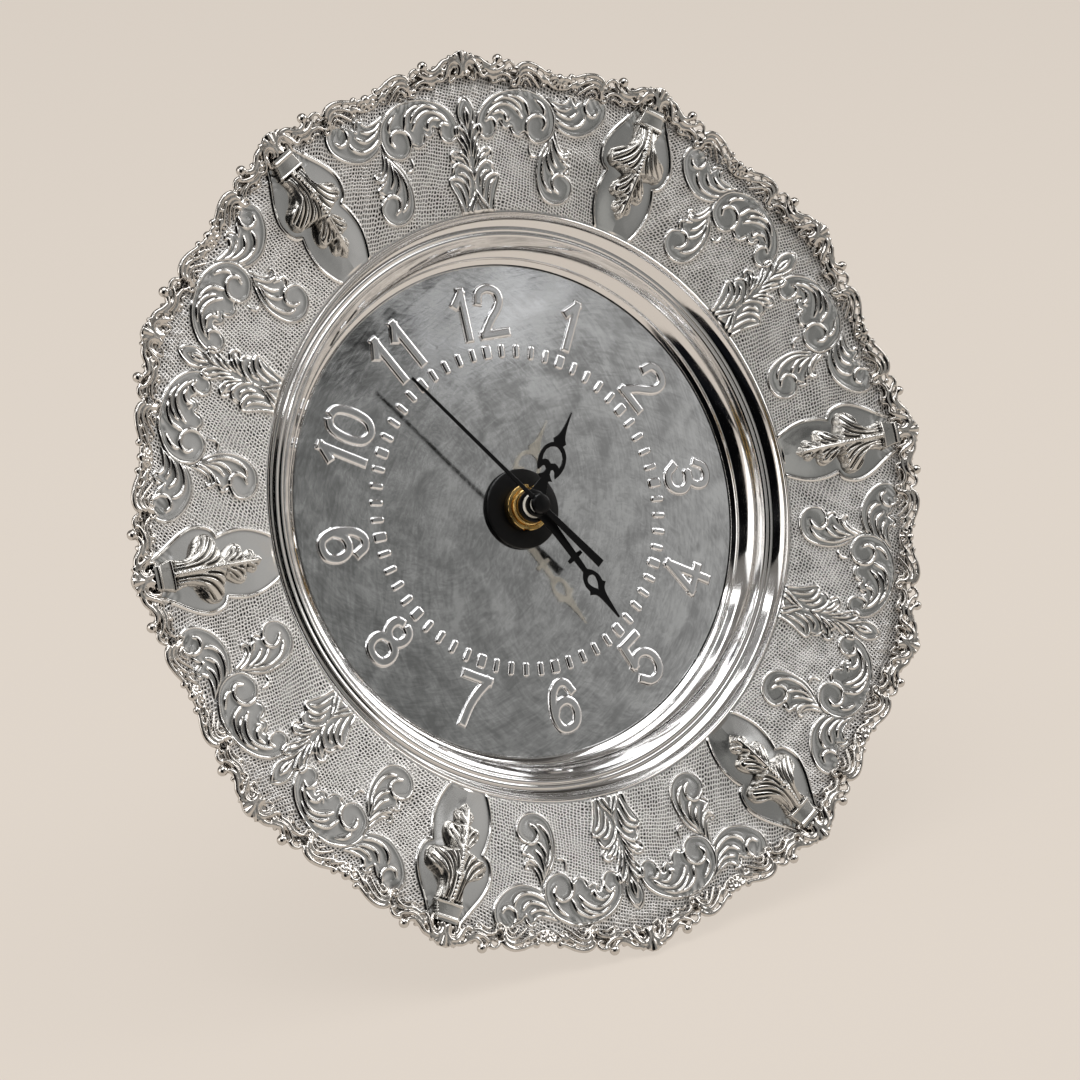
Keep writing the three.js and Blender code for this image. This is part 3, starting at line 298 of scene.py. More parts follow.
def grid_faces(rows: int, columns: int, closed: bool = False) -> list[tuple[int, ...]]:
    """The faces of a grid of points, row after row.

    Args:
        rows: Rows of points.
        columns: Points in a row.
        closed: True if each row meets its own start.

    Returns:
        Four-sided faces.
    """
    across = columns if closed else columns - 1
    return [
        (r * columns + c, r * columns + (c + 1) % columns,
         (r + 1) * columns + (c + 1) % columns, (r + 1) * columns + c)
        for r in range(rows - 1) for c in range(across)
    ]


def turned(profile: Sequence[Point], sides: int, ring: bool = True) -> Form:
    """Turns a profile about the hand axis, as on a lathe.

    Args:
        profile: Radius and height of each point, round the section.
        sides: Points round the axis.
        ring: True if the section is closed on itself, False if both its ends lie on the axis.

    Returns:
        The turned form.
    """
    section = np.asarray(profile, float)
    angle = np.linspace(0, FULL_TURN, sides, endpoint=False)
    radius, level = section[:, :1], np.repeat(section[:, 1:], sides, axis=1)
    points = np.stack([radius * np.sin(angle), radius * np.cos(angle), level], axis=-1).reshape(-1, 3)
    faces = grid_faces(len(section), sides, closed=True)
    last = (len(section) - 1) * sides
    if ring:
        faces += [(last + c, last + (c + 1) % sides, (c + 1) % sides, c) for c in range(sides)]
    else:
        faces += [tuple(reversed(range(sides))), tuple(range(last, last + sides))]
    return Form(points, faces)


def lofted(rings: Array) -> Form:
    """Skins a row of closed rings and caps both ends.

    Args:
        rings: Points by ring, then round the ring.

    Returns:
        A closed form.
    """
    count, sides = rings.shape[:2]
    last = (count - 1) * sides
    faces = grid_faces(count, sides, closed=True)
    faces += [tuple(reversed(range(sides))), tuple(range(last, last + sides))]
    return Form(rings.reshape(-1, 3), faces)


def wire(path: Array, radii: Array, sides: int) -> Form:
    """Sweeps a round section along a path.

    Args:
        path: The middle line.
        radii: Radius at each of its points.
        sides: Points round the wire.

    Returns:
        The closed wire.
    """
    along = np.gradient(path, axis=0)
    along /= np.linalg.norm(along, axis=1)[:, None]
    aside = np.cross(along[0], (0.0, 0.0, 1.0) if abs(along[0][2]) < 0.9 else (1.0, 0.0, 0.0))
    turn = np.linspace(0, FULL_TURN, sides, endpoint=False)[:, None]
    rings = []
    for centre, direction, radius in zip(path, along, radii):
        aside = aside - direction * (aside @ direction)
        aside /= np.linalg.norm(aside)
        over = np.cross(direction, aside)
        rings.append(centre + radius * (np.cos(turn) * aside + np.sin(turn) * over))
    return lofted(np.array(rings))


def taken(carrier: bpy.types.Object) -> Form:
    """Takes the finished mesh of an object, and lets the object go.

    Args:
        carrier: The object, with its modifiers.

    Returns:
        The form that it shows.
    """
    made = bpy.data.meshes.new_from_object(carrier.evaluated_get(bpy.context.evaluated_depsgraph_get()))
    points = np.empty(len(made.vertices) * 3)
    made.vertices.foreach_get("co", points)
    form = Form(points.reshape(-1, 3), [tuple(p.vertices) for p in made.polygons])
    bpy.data.objects.remove(carrier)
    bpy.data.meshes.remove(made)
    return form


def pressed(outlines: Sequence[Array], thickness: float, edge: float) -> Form:
    """Cuts a flat sheet to an outline and eases its edges.

    Args:
        outlines: Closed outlines; one inside another is a hole.
        thickness: The sheet's thickness, half of it on each side of z = 0.
        edge: Radius of the eased edge.

    Returns:
        The sheet.
    """
    drawing = bpy.data.curves.new("outline", "CURVE")
    drawing.dimensions, drawing.fill_mode = "2D", "BOTH"
    drawing.extrude, drawing.bevel_depth, drawing.bevel_resolution = thickness / 2 - edge, edge, 2
    drawing.offset = -edge
    for outline in outlines:
        spline = drawing.splines.new("POLY")
        spline.points.add(len(outline) - 1)
        spline.points.foreach_set("co", [v for x, y in outline for v in (x, y, 0.0, 1.0)])
        spline.use_cyclic_u = True
    form = taken(linked("drawing", drawing))
    bpy.data.curves.remove(drawing)
    return form


def fused(forms: Sequence[Form], voxel: float, rounds: int) -> Form:
    """Melts overlapping forms into one cast skin.

    Args:
        forms: Closed forms that overlap.
        voxel: Size of the skin's faces in millimetres.
        rounds: Rounds of smoothing.

    Returns:
        One closed form.
    """
    whole = joined(forms)
    mesh = bpy.data.meshes.new("casting")
    mesh.from_pydata(whole.points.tolist(), [], whole.faces)
    carrier = linked("casting", mesh)
    skin = carrier.modifiers.new("skin", "REMESH")
    skin.mode, skin.voxel_size = "VOXEL", voxel
    soften = carrier.modifiers.new("soften", "SMOOTH")
    soften.factor, soften.iterations = 0.5, rounds
    form = taken(carrier)
    bpy.data.meshes.remove(mesh)
    return form


def ridge(away: Array, width: float) -> Array:
    """A round ridge: 1 on its line, and fading over this width."""
    return np.exp(-((away / width) ** 2))


def softened(field: Array) -> Array:
    """Draws each inner height of a grid halfway to its four neighbours.

    Args:
        field: The heights.

    Returns:
        The softer heights.
    """
    soft = field.copy()
    soft[1:-1, 1:-1] = 0.5 * field[1:-1, 1:-1] + 0.125 * (
        field[2:, 1:-1] + field[:-2, 1:-1] + field[1:-1, 2:] + field[1:-1, :-2])
    return soft


def both_sides(half: Array, sign: int = 1) -> Array:
    """A grid and, on its left, its mirror image, times a sign."""
    return np.hstack([sign * half[:, :0:-1], half])


def hollows(form: Form, height: Array, rounds: int, depth: float) -> Array:
    """Finds the hollows, which the silver finishes darken with tarnish and painted shade.

    Args:
        form: A form of four-sided faces.
        height: Height of each point above its bed.
        rounds: Rounds of smoothing, which say how wide a hollow may be.
        depth: How far below its smoothed surroundings a point is quite hollow.

    Returns:
        The share of hollow at each point, from 0 to 1.
    """
    corners = np.array(form.faces)
    ends = np.stack([corners, np.roll(corners, -1, axis=1)]).reshape(2, -1)
    ends = np.hstack([ends, ends[::-1]])
    count = len(form.points)
    near = np.maximum(np.bincount(ends[0], minlength=count), 1)
    smooth = height.copy()
    for _ in range(rounds):
        smooth = 0.5 * smooth + 0.5 * np.bincount(ends[0], smooth[ends[1]], minlength=count) / near
    return np.clip((smooth - height) / depth, 0, 1)


@dataclass(frozen=True)
class Finish:
    """A plain surface: one substance, with unevenness from how it was made. Sizes are millimetres."""

    name: str
    colour: str
    roughness: float
    metallic: float = 0.0
    grain: float = 1.0
    grain_depth: float = 0.01
    spread: float = 0.08
    specular: float = 0.5

    def material(self) -> bpy.types.Material:
        """Makes the Blender material, once.

        Returns:
            The material.
        """
        found = bpy.data.materials.get(self.name)
        if found:
            return found
        material = bpy.data.materials.new(self.name)
        tree = emptied(material)
        shader = add_node(tree, "BsdfPrincipled", {
            "Base Color": srgb(self.colour), "Metallic": self.metallic, "Roughness": self.roughness,
            "Specular IOR Level": self.specular})
        for socket, source in self.feeds(tree).items():
            feed(tree, source, shader.inputs[socket])
        add_node(tree, "OutputMaterial", {"Surface": shader})
        return material

    def gloss(self, tree: Tree, pattern: Feed, span: Point = NOISE_SPAN) -> Node:
        """The roughness, which goes from gloss to dull as a pattern goes through its span."""
        return add_node(tree, "MapRange", {
            "Value": pattern, "From Min": span[0], "From Max": span[1],
            "To Min": self.roughness - self.spread, "To Max": self.roughness + self.spread})

    def feeds(self, tree: Tree) -> dict[str, Feed]:
        """Works out what feeds the shader: here an uneven gloss and a fine relief.

        Args:
            tree: The material's nodes.

        Returns:
            The shader's sockets by name, each with what feeds it.
        """
        place = add_node(tree, "TexCoord").outputs["Object"]
        grain = add_node(tree, "TexNoise", {"Vector": place, "Scale": per_mm(self.grain), "Detail": 4.0})
        relief = add_node(tree, "Bump", {"Height": grain, "Distance": self.grain_depth * MM})
        return {"Roughness": self.gloss(tree, grain), "Normal": relief}


@dataclass(frozen=True)
class Silver(Finish):
    """Silver plate that has been handled and rubbed: bright on ridges, brown-grey in hollows, with tarnish where a
    cloth can't reach and painted shade.
    """

    tarnish: str = "#7D7466"
    dulled: float = 0.2
    cloud: float = 6.0
    # How much of a hollow's tarnish and painted shade shows, from cloud to cloud
    patchy: Point = (0.75, 1.15)

    def feeds(self, tree: Tree) -> dict[str, Feed]:
        """Gives the plate tarnish and painted shade in its hollows, clouds and faint waves. See Finish.feeds."""
        place = add_node(tree, "TexCoord").outputs["Object"]
        hollow = add_node(tree, "Attribute", attribute_name="hollow").outputs["Fac"]
        cloud = add_node(tree, "TexNoise", {"Vector": place, "Scale": per_mm(self.cloud), "Detail": 3.0})
        grain = add_node(tree, "TexNoise", {"Vector": place, "Scale": per_mm(self.grain), "Detail": 3.0})
        patchy = add_node(tree, "MapRange", {
            "Value": cloud, "From Min": NOISE_SPAN[0], "From Max": NOISE_SPAN[1],
            "To Min": self.patchy[0], "To Max": self.patchy[1]})
        # Tarnish and painted shade: the hollows darkened, patchy from cloud to cloud
        tarnish_and_shade_share = add_node(tree, "Math", {0: hollow, 1: patchy}, operation="MULTIPLY", use_clamp=True)
        return {
            "Base Color": add_node(tree, "Mix", {
                "Factor": tarnish_and_shade_share, "A": srgb(self.colour), "B": srgb(self.tarnish)}, data_type="RGBA"),
            "Roughness": add_node(tree, "Math", {0: tarnish_and_shade_share, 1: self.dulled, 2: self.gloss(tree, cloud)},
                                  operation="MULTIPLY_ADD"),
            "Normal": add_node(tree, "Bump", {"Height": grain, "Distance": self.grain_depth * MM})}


@dataclass(frozen=True)
class ChasedSilver(Silver):
    """Plate whose ground between the scrolls is cross-hatched with a tool, so that it looks dull, with a painted
    highlight on the hatch lines and painted shade in the pits.
    """

    # The real lines are some 0.55 mm apart; wider ones show in a picture of the whole clock
    hatch: float = 0.70
    hatch_turn: float = 18.0
    hatch_jitter: float = 0.42
    hatch_depth: float = 0.07
    # A line's flank, from its top to its foot, as shares of a mesh
    hatch_flank: Point = (0.08, 0.30)
    wander: float = 5.0
    wander_size: float = 17.0
    worn_size: float = 3.4
    # Where the ground is rubbed: span of the wear, and how far the pits are then filled
    rubbed: Point = (0.46, 0.70)
    rubbed_level: float = 0.5
    # How deep the tool struck: span of the wear, and share of the depth
    struck: Point = (0.35, 0.65)
    struck_depth: Point = (0.45, 1.0)
    # Painted highlight on the hatch's raised lines, and painted shade in its pits
    ground_line: str = "#FBF9F7"
    ground_pit: str = "#0F0E0D"
    ground_roughness: float = 0.40

    def feeds(self, tree: Tree) -> dict[str, Feed]:
        """Lays a net of raised lines on the ground, painted with a highlight, and pits between them painted dark with
        shade. See Finish.feeds.
        """
        plain = super().feeds(tree)
        ground = add_node(tree, "Attribute", attribute_name="ground").outputs["Fac"]
        flat = add_node(tree, "UVMap", uv_map="chasing")
        drift = add_node(tree, "TexNoise", {"Vector": flat, "Scale": 1 / self.wander_size, "Detail": 1.0})
        sheet = add_node(tree, "VectorMath", {0: drift.outputs["Color"], 1: (self.wander,) * 3, 2: flat},
                         operation="MULTIPLY_ADD")
        lay = add_node(tree, "Mapping", {"Vector": sheet, "Rotation": (0, 0, math.radians(self.hatch_turn))})
        from_line = add_node(tree, "TexVoronoi", {
            "Vector": lay, "Scale": 1 / self.hatch, "Randomness": self.hatch_jitter},
            voronoi_dimensions="2D", feature="DISTANCE_TO_EDGE")
        worn = add_node(tree, "TexNoise", {"Vector": sheet, "Scale": 1 / self.worn_size, "Detail": 4.0})
        lines = add_node(tree, "MapRange", {
            "Value": from_line, "From Min": self.hatch_flank[0], "From Max": self.hatch_flank[1],
            "To Min": 1.0, "To Max": 0.0})
        rubbed = add_node(tree, "MapRange", {
            "Value": worn, "From Min": self.rubbed[0], "From Max": self.rubbed[1],
            "To Min": 0.0, "To Max": self.rubbed_level})
        crossed = add_node(tree, "Math", {0: lines, 1: rubbed}, operation="MAXIMUM")
        struck = add_node(tree, "MapRange", {
            "Value": worn, "From Min": self.struck[0], "From Max": self.struck[1],
            "To Min": self.struck_depth[0], "To Max": self.struck_depth[1]})
        strong = add_node(tree, "Math", {0: struck, 1: ground}, operation="MULTIPLY")
        height = add_node(tree, "Math", {0: crossed, 1: strong}, operation="MULTIPLY")
        # The hatch's colour: painted highlight on its lines, painted shade in its pits
        hatch_light_and_shade = add_node(tree, "Mix", {
            "Factor": crossed, "A": srgb(self.ground_pit), "B": srgb(self.ground_line)}, data_type="RGBA")
        return {
            "Base Color": add_node(tree, "Mix", {
                "Factor": ground, "A": plain["Base Color"], "B": hatch_light_and_shade}, data_type="RGBA"),
            "Roughness": add_node(tree, "Mix", {
                "Factor": ground, "A": plain["Roughness"], "B": self.ground_roughness}, data_type="FLOAT"),
            "Normal": add_node(tree, "Bump", {
                "Height": height, "Distance": self.hatch_depth * MM, "Normal": plain["Normal"]})}


@dataclass(frozen=True)
class RubbedMetal(Finish):
    """Soft white metal that has been wiped with a cloth: a grey mirror with faint curved smears."""

    # Each set of wipes: its centre, and the width and length of its smears
    wipes: tuple[tuple[float, ...], ...] = (
        (-24.0, 8.0, 1.3, 11.0), (16.0, -20.0, 1.8, 12.0))
    wipe_radius: float = 80.0
    cloud: float = 8.0
    cloud_weight: float = 2.0
    # Where most of the summed patterns lies, as shares of their weight
    worn_span: Point = (0.40, 0.60)
    shades: Point = (0.70, 1.18)
    wave: float = 20.0
    wave_depth: float = 0.16

    def smears(self, tree: Tree, place: Feed) -> Node:
        """Draws one set of smears for each wipe, as noise that is long round the wipe's centre and narrow across.

        Args:
            tree: The material's nodes.
            place: Position on the piece.

        Returns:
            The node that gives the sum of all sets.
        """
        total = None
        for x, y, width, length in self.wipes:
            from_centre = add_node(tree, "VectorMath", {0: place, 1: (x * MM, y * MM, 0.0)}, operation="SUBTRACT")
            parts = add_node(tree, "SeparateXYZ", {"Vector": from_centre}).outputs
            radius = add_node(tree, "VectorMath", {0: from_centre}, operation="LENGTH")
            turn = add_node(tree, "Math", {0: parts["Y"], 1: parts["X"]}, operation="ARCTAN2")
            along = add_node(tree, "Math", {0: turn, 1: self.wipe_radius / length}, operation="MULTIPLY")
            across = add_node(tree, "Math", {0: radius, 1: per_mm(width)}, operation="MULTIPLY")
            laid = add_node(tree, "CombineXYZ", {"X": along, "Y": across})
            smear = add_node(tree, "TexNoise", {"Vector": laid, "Scale": 1.0, "Detail": 3.0, "Distortion": 1.8})
            total = smear if total is None else add_node(tree, "Math", {0: total, 1: smear}, operation="ADD")
        return total

    def feeds(self, tree: Tree) -> dict[str, Feed]:
        """Lays the smears and clouds on the metal, and lets the thin sheet wave. See Finish.feeds."""
        place = add_node(tree, "TexCoord").outputs["Object"]
        smears = self.smears(tree, place)
        cloud = add_node(tree, "TexNoise", {
            "Vector": place, "Scale": per_mm(self.cloud), "Detail": 6.0, "Distortion": 0.8})
        worn = add_node(tree, "Math", {0: cloud, 1: self.cloud_weight, 2: smears}, operation="MULTIPLY_ADD")
        weight = len(self.wipes) + self.cloud_weight
        span = (self.worn_span[0] * weight, self.worn_span[1] * weight)
        shade = add_node(tree, "MapRange", {
            "Value": worn, "From Min": span[0], "From Max": span[1],
            "To Min": self.shades[0], "To Max": self.shades[1]})
        wave = add_node(tree, "TexNoise", {"Vector": place, "Scale": per_mm(self.wave), "Detail": 1.0})
        buckle = add_node(tree, "Bump", {"Height": wave, "Distance": self.wave_depth * MM})
        return {
            "Base Color": add_node(tree, "VectorMath", {0: srgb(self.colour)[:3], "Scale": shade}, operation="SCALE"),
            "Roughness": self.gloss(tree, worn, span),
            "Normal": add_node(tree, "Bump", {
                "Height": smears, "Distance": self.grain_depth * MM, "Normal": buckle})}


@dataclass(frozen=True)
class LacqueredSheet(Finish):
    """Thin sheet that is lacquered on its front and edges, and etched metal behind."""

    bare: str = "#F2EDE2"
    etched: float = 0.4
    # A face whose normal reaches this far back is the sheet's back
    faces_back: float = -0.6

    def feeds(self, tree: Tree) -> dict[str, Feed]:
        """Parts the lacquer from the bare back by which way the sheet faces on its own piece. See Finish.feeds."""
        coords = add_node(tree, "TexCoord").outputs
        facing = add_node(tree, "SeparateXYZ", {"Vector": coords["Normal"]}).outputs["Z"]
        back = add_node(tree, "Math", {0: facing, 1: self.faces_back}, operation="LESS_THAN")
        grain = add_node(tree, "TexNoise", {"Vector": coords["Object"], "Scale": per_mm(self.grain), "Detail": 3.0})
        return {
            "Base Color": add_node(tree, "Mix", {
                "Factor": back, "A": srgb(self.colour), "B": srgb(self.bare)}, data_type="RGBA"),
            "Metallic": back,
            "Roughness": add_node(tree, "Math", {0: back, 1: self.etched, 2: self.gloss(tree, grain, (0.0, 1.0))},
                                  operation="MULTIPLY_ADD")}


@dataclass(frozen=True)
class TurnedMetal(Finish):
    """Metal off a lathe, with the tool's rings round the hand axis."""

    ring: float = 0.35

    def feeds(self, tree: Tree) -> dict[str, Feed]:
        """Cuts the rings, drawn coarser than a real tool leaves them so that they show. See Finish.feeds."""
        place = add_node(tree, "TexCoord").outputs["Object"]
        rings = add_node(tree, "TexWave", {
            "Vector": place, "Scale": WAVE_LENGTH * per_mm(self.ring), "Distortion": 0.6},
            wave_type="RINGS", rings_direction="Z").outputs["Fac"]
        relief = add_node(tree, "Bump", {"Height": rings, "Distance": self.grain_depth * MM})
        return {"Roughness": self.gloss(tree, rings, (0.0, 1.0)), "Normal": relief}


@dataclass(frozen=True)
class BandedJacket(Finish):
    """A printed plastic sleeve with one plain band of another colour."""

    band: str = "#B9BBBE"
    band_from: float = 13.0
    band_to: float = 17.5

    def feeds(self, tree: Tree) -> dict[str, Feed]:
        """Paints the band across the sleeve by its distance along the cell. See Finish.feeds."""
        place = add_node(tree, "TexCoord").outputs["Object"]
        along = add_node(tree, "SeparateXYZ", {"Vector": place}).outputs["X"]
        past = add_node(tree, "Math", {0: along, 1: self.band_from * MM}, operation="GREATER_THAN")
        short = add_node(tree, "Math", {0: along, 1: self.band_to * MM}, operation="LESS_THAN")
        both = add_node(tree, "Math", {0: past, 1: short}, operation="MULTIPLY")
        return {"Base Color": add_node(tree, "Mix", {
            "Factor": both, "A": srgb(self.colour), "B": srgb(self.band)}, data_type="RGBA")}


# Silver plate, spun and buffed: a soft mirror that takes the room's colours, with faint waves from the spinning
POLISHED_SILVER = Silver("silver_plate_polished", "#E6E5E4", 0.09, 1.0, 9.0, 0.02, 0.04)
# The same plate chased from behind: bright ridges, and hollows greyed with tarnish and painted shade, over a hatched
# ground with a painted highlight on its lines and painted shade in its pits
CHASED_SILVER = ChasedSilver(
    "silver_plate_chased", "#EBEAE8", 0.12, 1.0, 4.0, 0.02, 0.04, tarnish="#4C4C4B", dulled=0.1)
# Cast white metal, plated: rounded scrolls, with tarnish and painted shade making their recesses near black
CAST_SILVER = Silver("silver_plate_cast", "#CFCBC6", 0.17, 1.0, 1.6, 0.03, 0.05, tarnish="#15120F")
# Cast leaves, plated and left longer between cleanings: brown in the folds, from tarnish and painted shade
LEAF_SILVER = Silver("silver_plate_leaf", "#D2D0CC", 0.17, 1.0, 1.2, 0.03, 0.05, tarnish="#231F1B")
# Rolled white metal, wiped with a cloth: a grey mirror with curved smears
DIAL_METAL = RubbedMetal("white_metal_rubbed", "#EAEBEC", 0.115, 1.0, 1.0, 0.003, 0.05)
# The same metal where the stamp has raised it: brighter, because the cloth rubs the edges
EMBOSSED_METAL = Silver("white_metal_embossed", "#EDEDEE", 0.17, 1.0, 2.0, 0.004, 0.05)
# Stamped brass lacquered black on the front: even satin black, pale etched metal behind
HAND_LACQUER = LacqueredSheet("black_lacquer_on_metal", "#040405", 0.30, 0.0, 0.8, 0.0, 0.05, specular=0.2)
# The second hand is lacquered on both faces, so the dial mirrors it dark
SWEEP_LACQUER = LacqueredSheet("black_lacquer_both_faces", "#040405", 0.30, 0.0, 0.8, 0.0, 0.05, specular=0.2,
                               bare="#2A2928")
# Moulded rubber: deep black with a slight shine
RUBBER = Finish("rubber_moulded_black", "#050506", 0.38, 0.0, 0.6, 0.01, 0.08, specular=0.2)
# Turned brass: warm yellow with rings
BRASS = TurnedMetal("brass_turned", "#DDBB7A", 0.20, 1.0, 1.0, 0.008, 0.06)
# ABS moulded in a sparked tool: black with a fine even pebble, drawn at 0.5 mm so that it shows
BLACK_ABS = Finish("abs_moulded_black", "#17181A", 0.48, 0.0, 0.5, 0.02, 0.08)
# Acetal: waxy off-white gears
ACETAL = Finish("acetal_moulded_white", "#E4E1D8", 0.42, 0.0, 0.8, 0.01, 0.08)
# Drawn steel with a bright zinc coat: cool grey, slightly cloudy
ZINC_STEEL = Finish("steel_zinc_plated", "#C3C6C8", 0.28, 1.0, 2.5, 0.01, 0.08)
# Spring strip: nickel-plated steel
NICKEL_STRIP = Finish("steel_nickel_strip", "#CFCAC2", 0.22, 1.0, 2.0, 0.006, 0.06)
# Enamelled copper winding
COPPER_ENAMEL = Finish("copper_wire_enamelled", "#A4552B", 0.30, 1.0, 0.4, 0.02, 0.08)
# Glass-fibre board with green solder mask
GREEN_BOARD = Finish("board_solder_mask", "#1F5A38", 0.40, 0.0, 0.7, 0.01, 0.06)
# Sintered magnet
FERRITE = Finish("ferrite_sintered", "#3B3B3D", 0.55, 0.2, 0.4, 0.01, 0.1)
# Shrunk plastic sleeve on the cell
CELL_SLEEVE = BandedJacket("cell_sleeve_printed", "#2E4A43", 0.32, 0.0)


@dataclass(frozen=True)
class Face:
    """The leaning face: x to the right, y up the face and z out of the dial, whose front is at z = 0."""

    matrix: Matrix

    @classmethod
    def from_joints(cls, joints: Sequence[dict]) -> "Face":
        """Finds the face from the joint that the second hand turns on.

        Args:
            joints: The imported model's joints.

        Returns:
            The face in the row frame.
        """
        spin = next(joint for joint in joints if joint["name"] == "second_spin")
        out = -Vector(spin["axis"]).normalized()
        right = Vector((1, 0, 0))
        axes = Matrix((right, out.cross(right), out)).transposed().to_4x4()
        return cls(Matrix.Translation(Vector(spin["pos_m"])) @ axes)

    def point(self, x: float, y: float, z: float) -> Vector:
        """A place on the face, given in millimetres, in the row frame."""
        return self.matrix @ Vector((x * MM, y * MM, z * MM))

    def direction(self, x: float, y: float, z: float) -> Vector:
        """A direction on the face in the row frame."""
        return self.matrix.to_3x3() @ Vector((x, y, z))


@dataclass
class Assembly:
    """Pieces that are built together on the face."""

    face: Face

    def place(self, name: str, form: Form, finish: Finish, body: Body, slot: Slot, replaces: Sequence[str] = (),
              sharp: float = CRISP_DEG, on_face: bool = False, shares: dict[str, Array] | None = None
              ) -> bpy.types.Object:
        """Puts a finished piece on its body.

        Args:
            name: The piece's name.
            form: Its shape on the face, in millimetres.
            finish: What its surface is.
            body: The body it rides on.
            slot: The record's slot for its finish; not used.
            replaces: Solids that it stands for.
            sharp: Edges that bend more than this many degrees stay crisp.
            on_face: True if its own axes are those of the face, for a finish that follows them.
            shares: Values for each point that its finish reads, by name.

        Returns:
            The piece.
        """
        mesh = bpy.data.meshes.new(name)
        mesh.from_pydata((form.points * MM).tolist(), [], form.faces)
        if not on_face:
            mesh.transform(self.face.matrix)
        mesh.shade_smooth()
        mesh.set_sharp_from_angle(angle=math.radians(sharp))
        for share, values in (shares or {}).items():
            mesh.attributes.new(share, "FLOAT", "POINT").data.foreach_set("value", values.astype(np.float32))
        mesh.materials.append(finish.material())
        piece = linked(name, mesh)
        if on_face:
            piece.matrix_world = self.face.matrix
        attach(piece, body.value)
        if replaces:
            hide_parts(*replaces)
        log.info("%s: %d faces", name, len(mesh.polygons))
        return piece

    def stood(self, form: Form, gap: float) -> Form:
        """Stands a form on the table, with what would reach lower pressed flat.

        Args:
            form: A form on the face.
            gap: Millimetres left between it and the table.

        Returns:
            The flattened form.
        """
        up = np.array(self.face.matrix.to_3x3().transposed() @ Vector((0, 0, 1)))
        lifted = np.maximum(gap - self.face.matrix.translation.z / MM - form.points @ up, 0)
        return Form(form.points + lifted[:, None] * up, form.faces)

    def dress_node(self, node: str, finish: Finish, edge: float = 0.0) -> None:
        """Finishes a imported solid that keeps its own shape.

        Args:
            node: The solid's name.
            finish: What its surface is.
            edge: Radius of its eased edges in millimetres, or 0 for none.
        """
        solid = frame["nodes"][node]
        solid.data.materials.clear()
        solid.data.materials.append(finish.material())
        if edge:
            ease = solid.modifiers.new("eased_edges", "BEVEL")
            ease.width, ease.segments, ease.limit_method = edge * MM, 2, "ANGLE"
            ease.angle_limit = math.radians(CRISP_DEG)
            ease.harden_normals = True
        log.info("%s: packed solid", node)


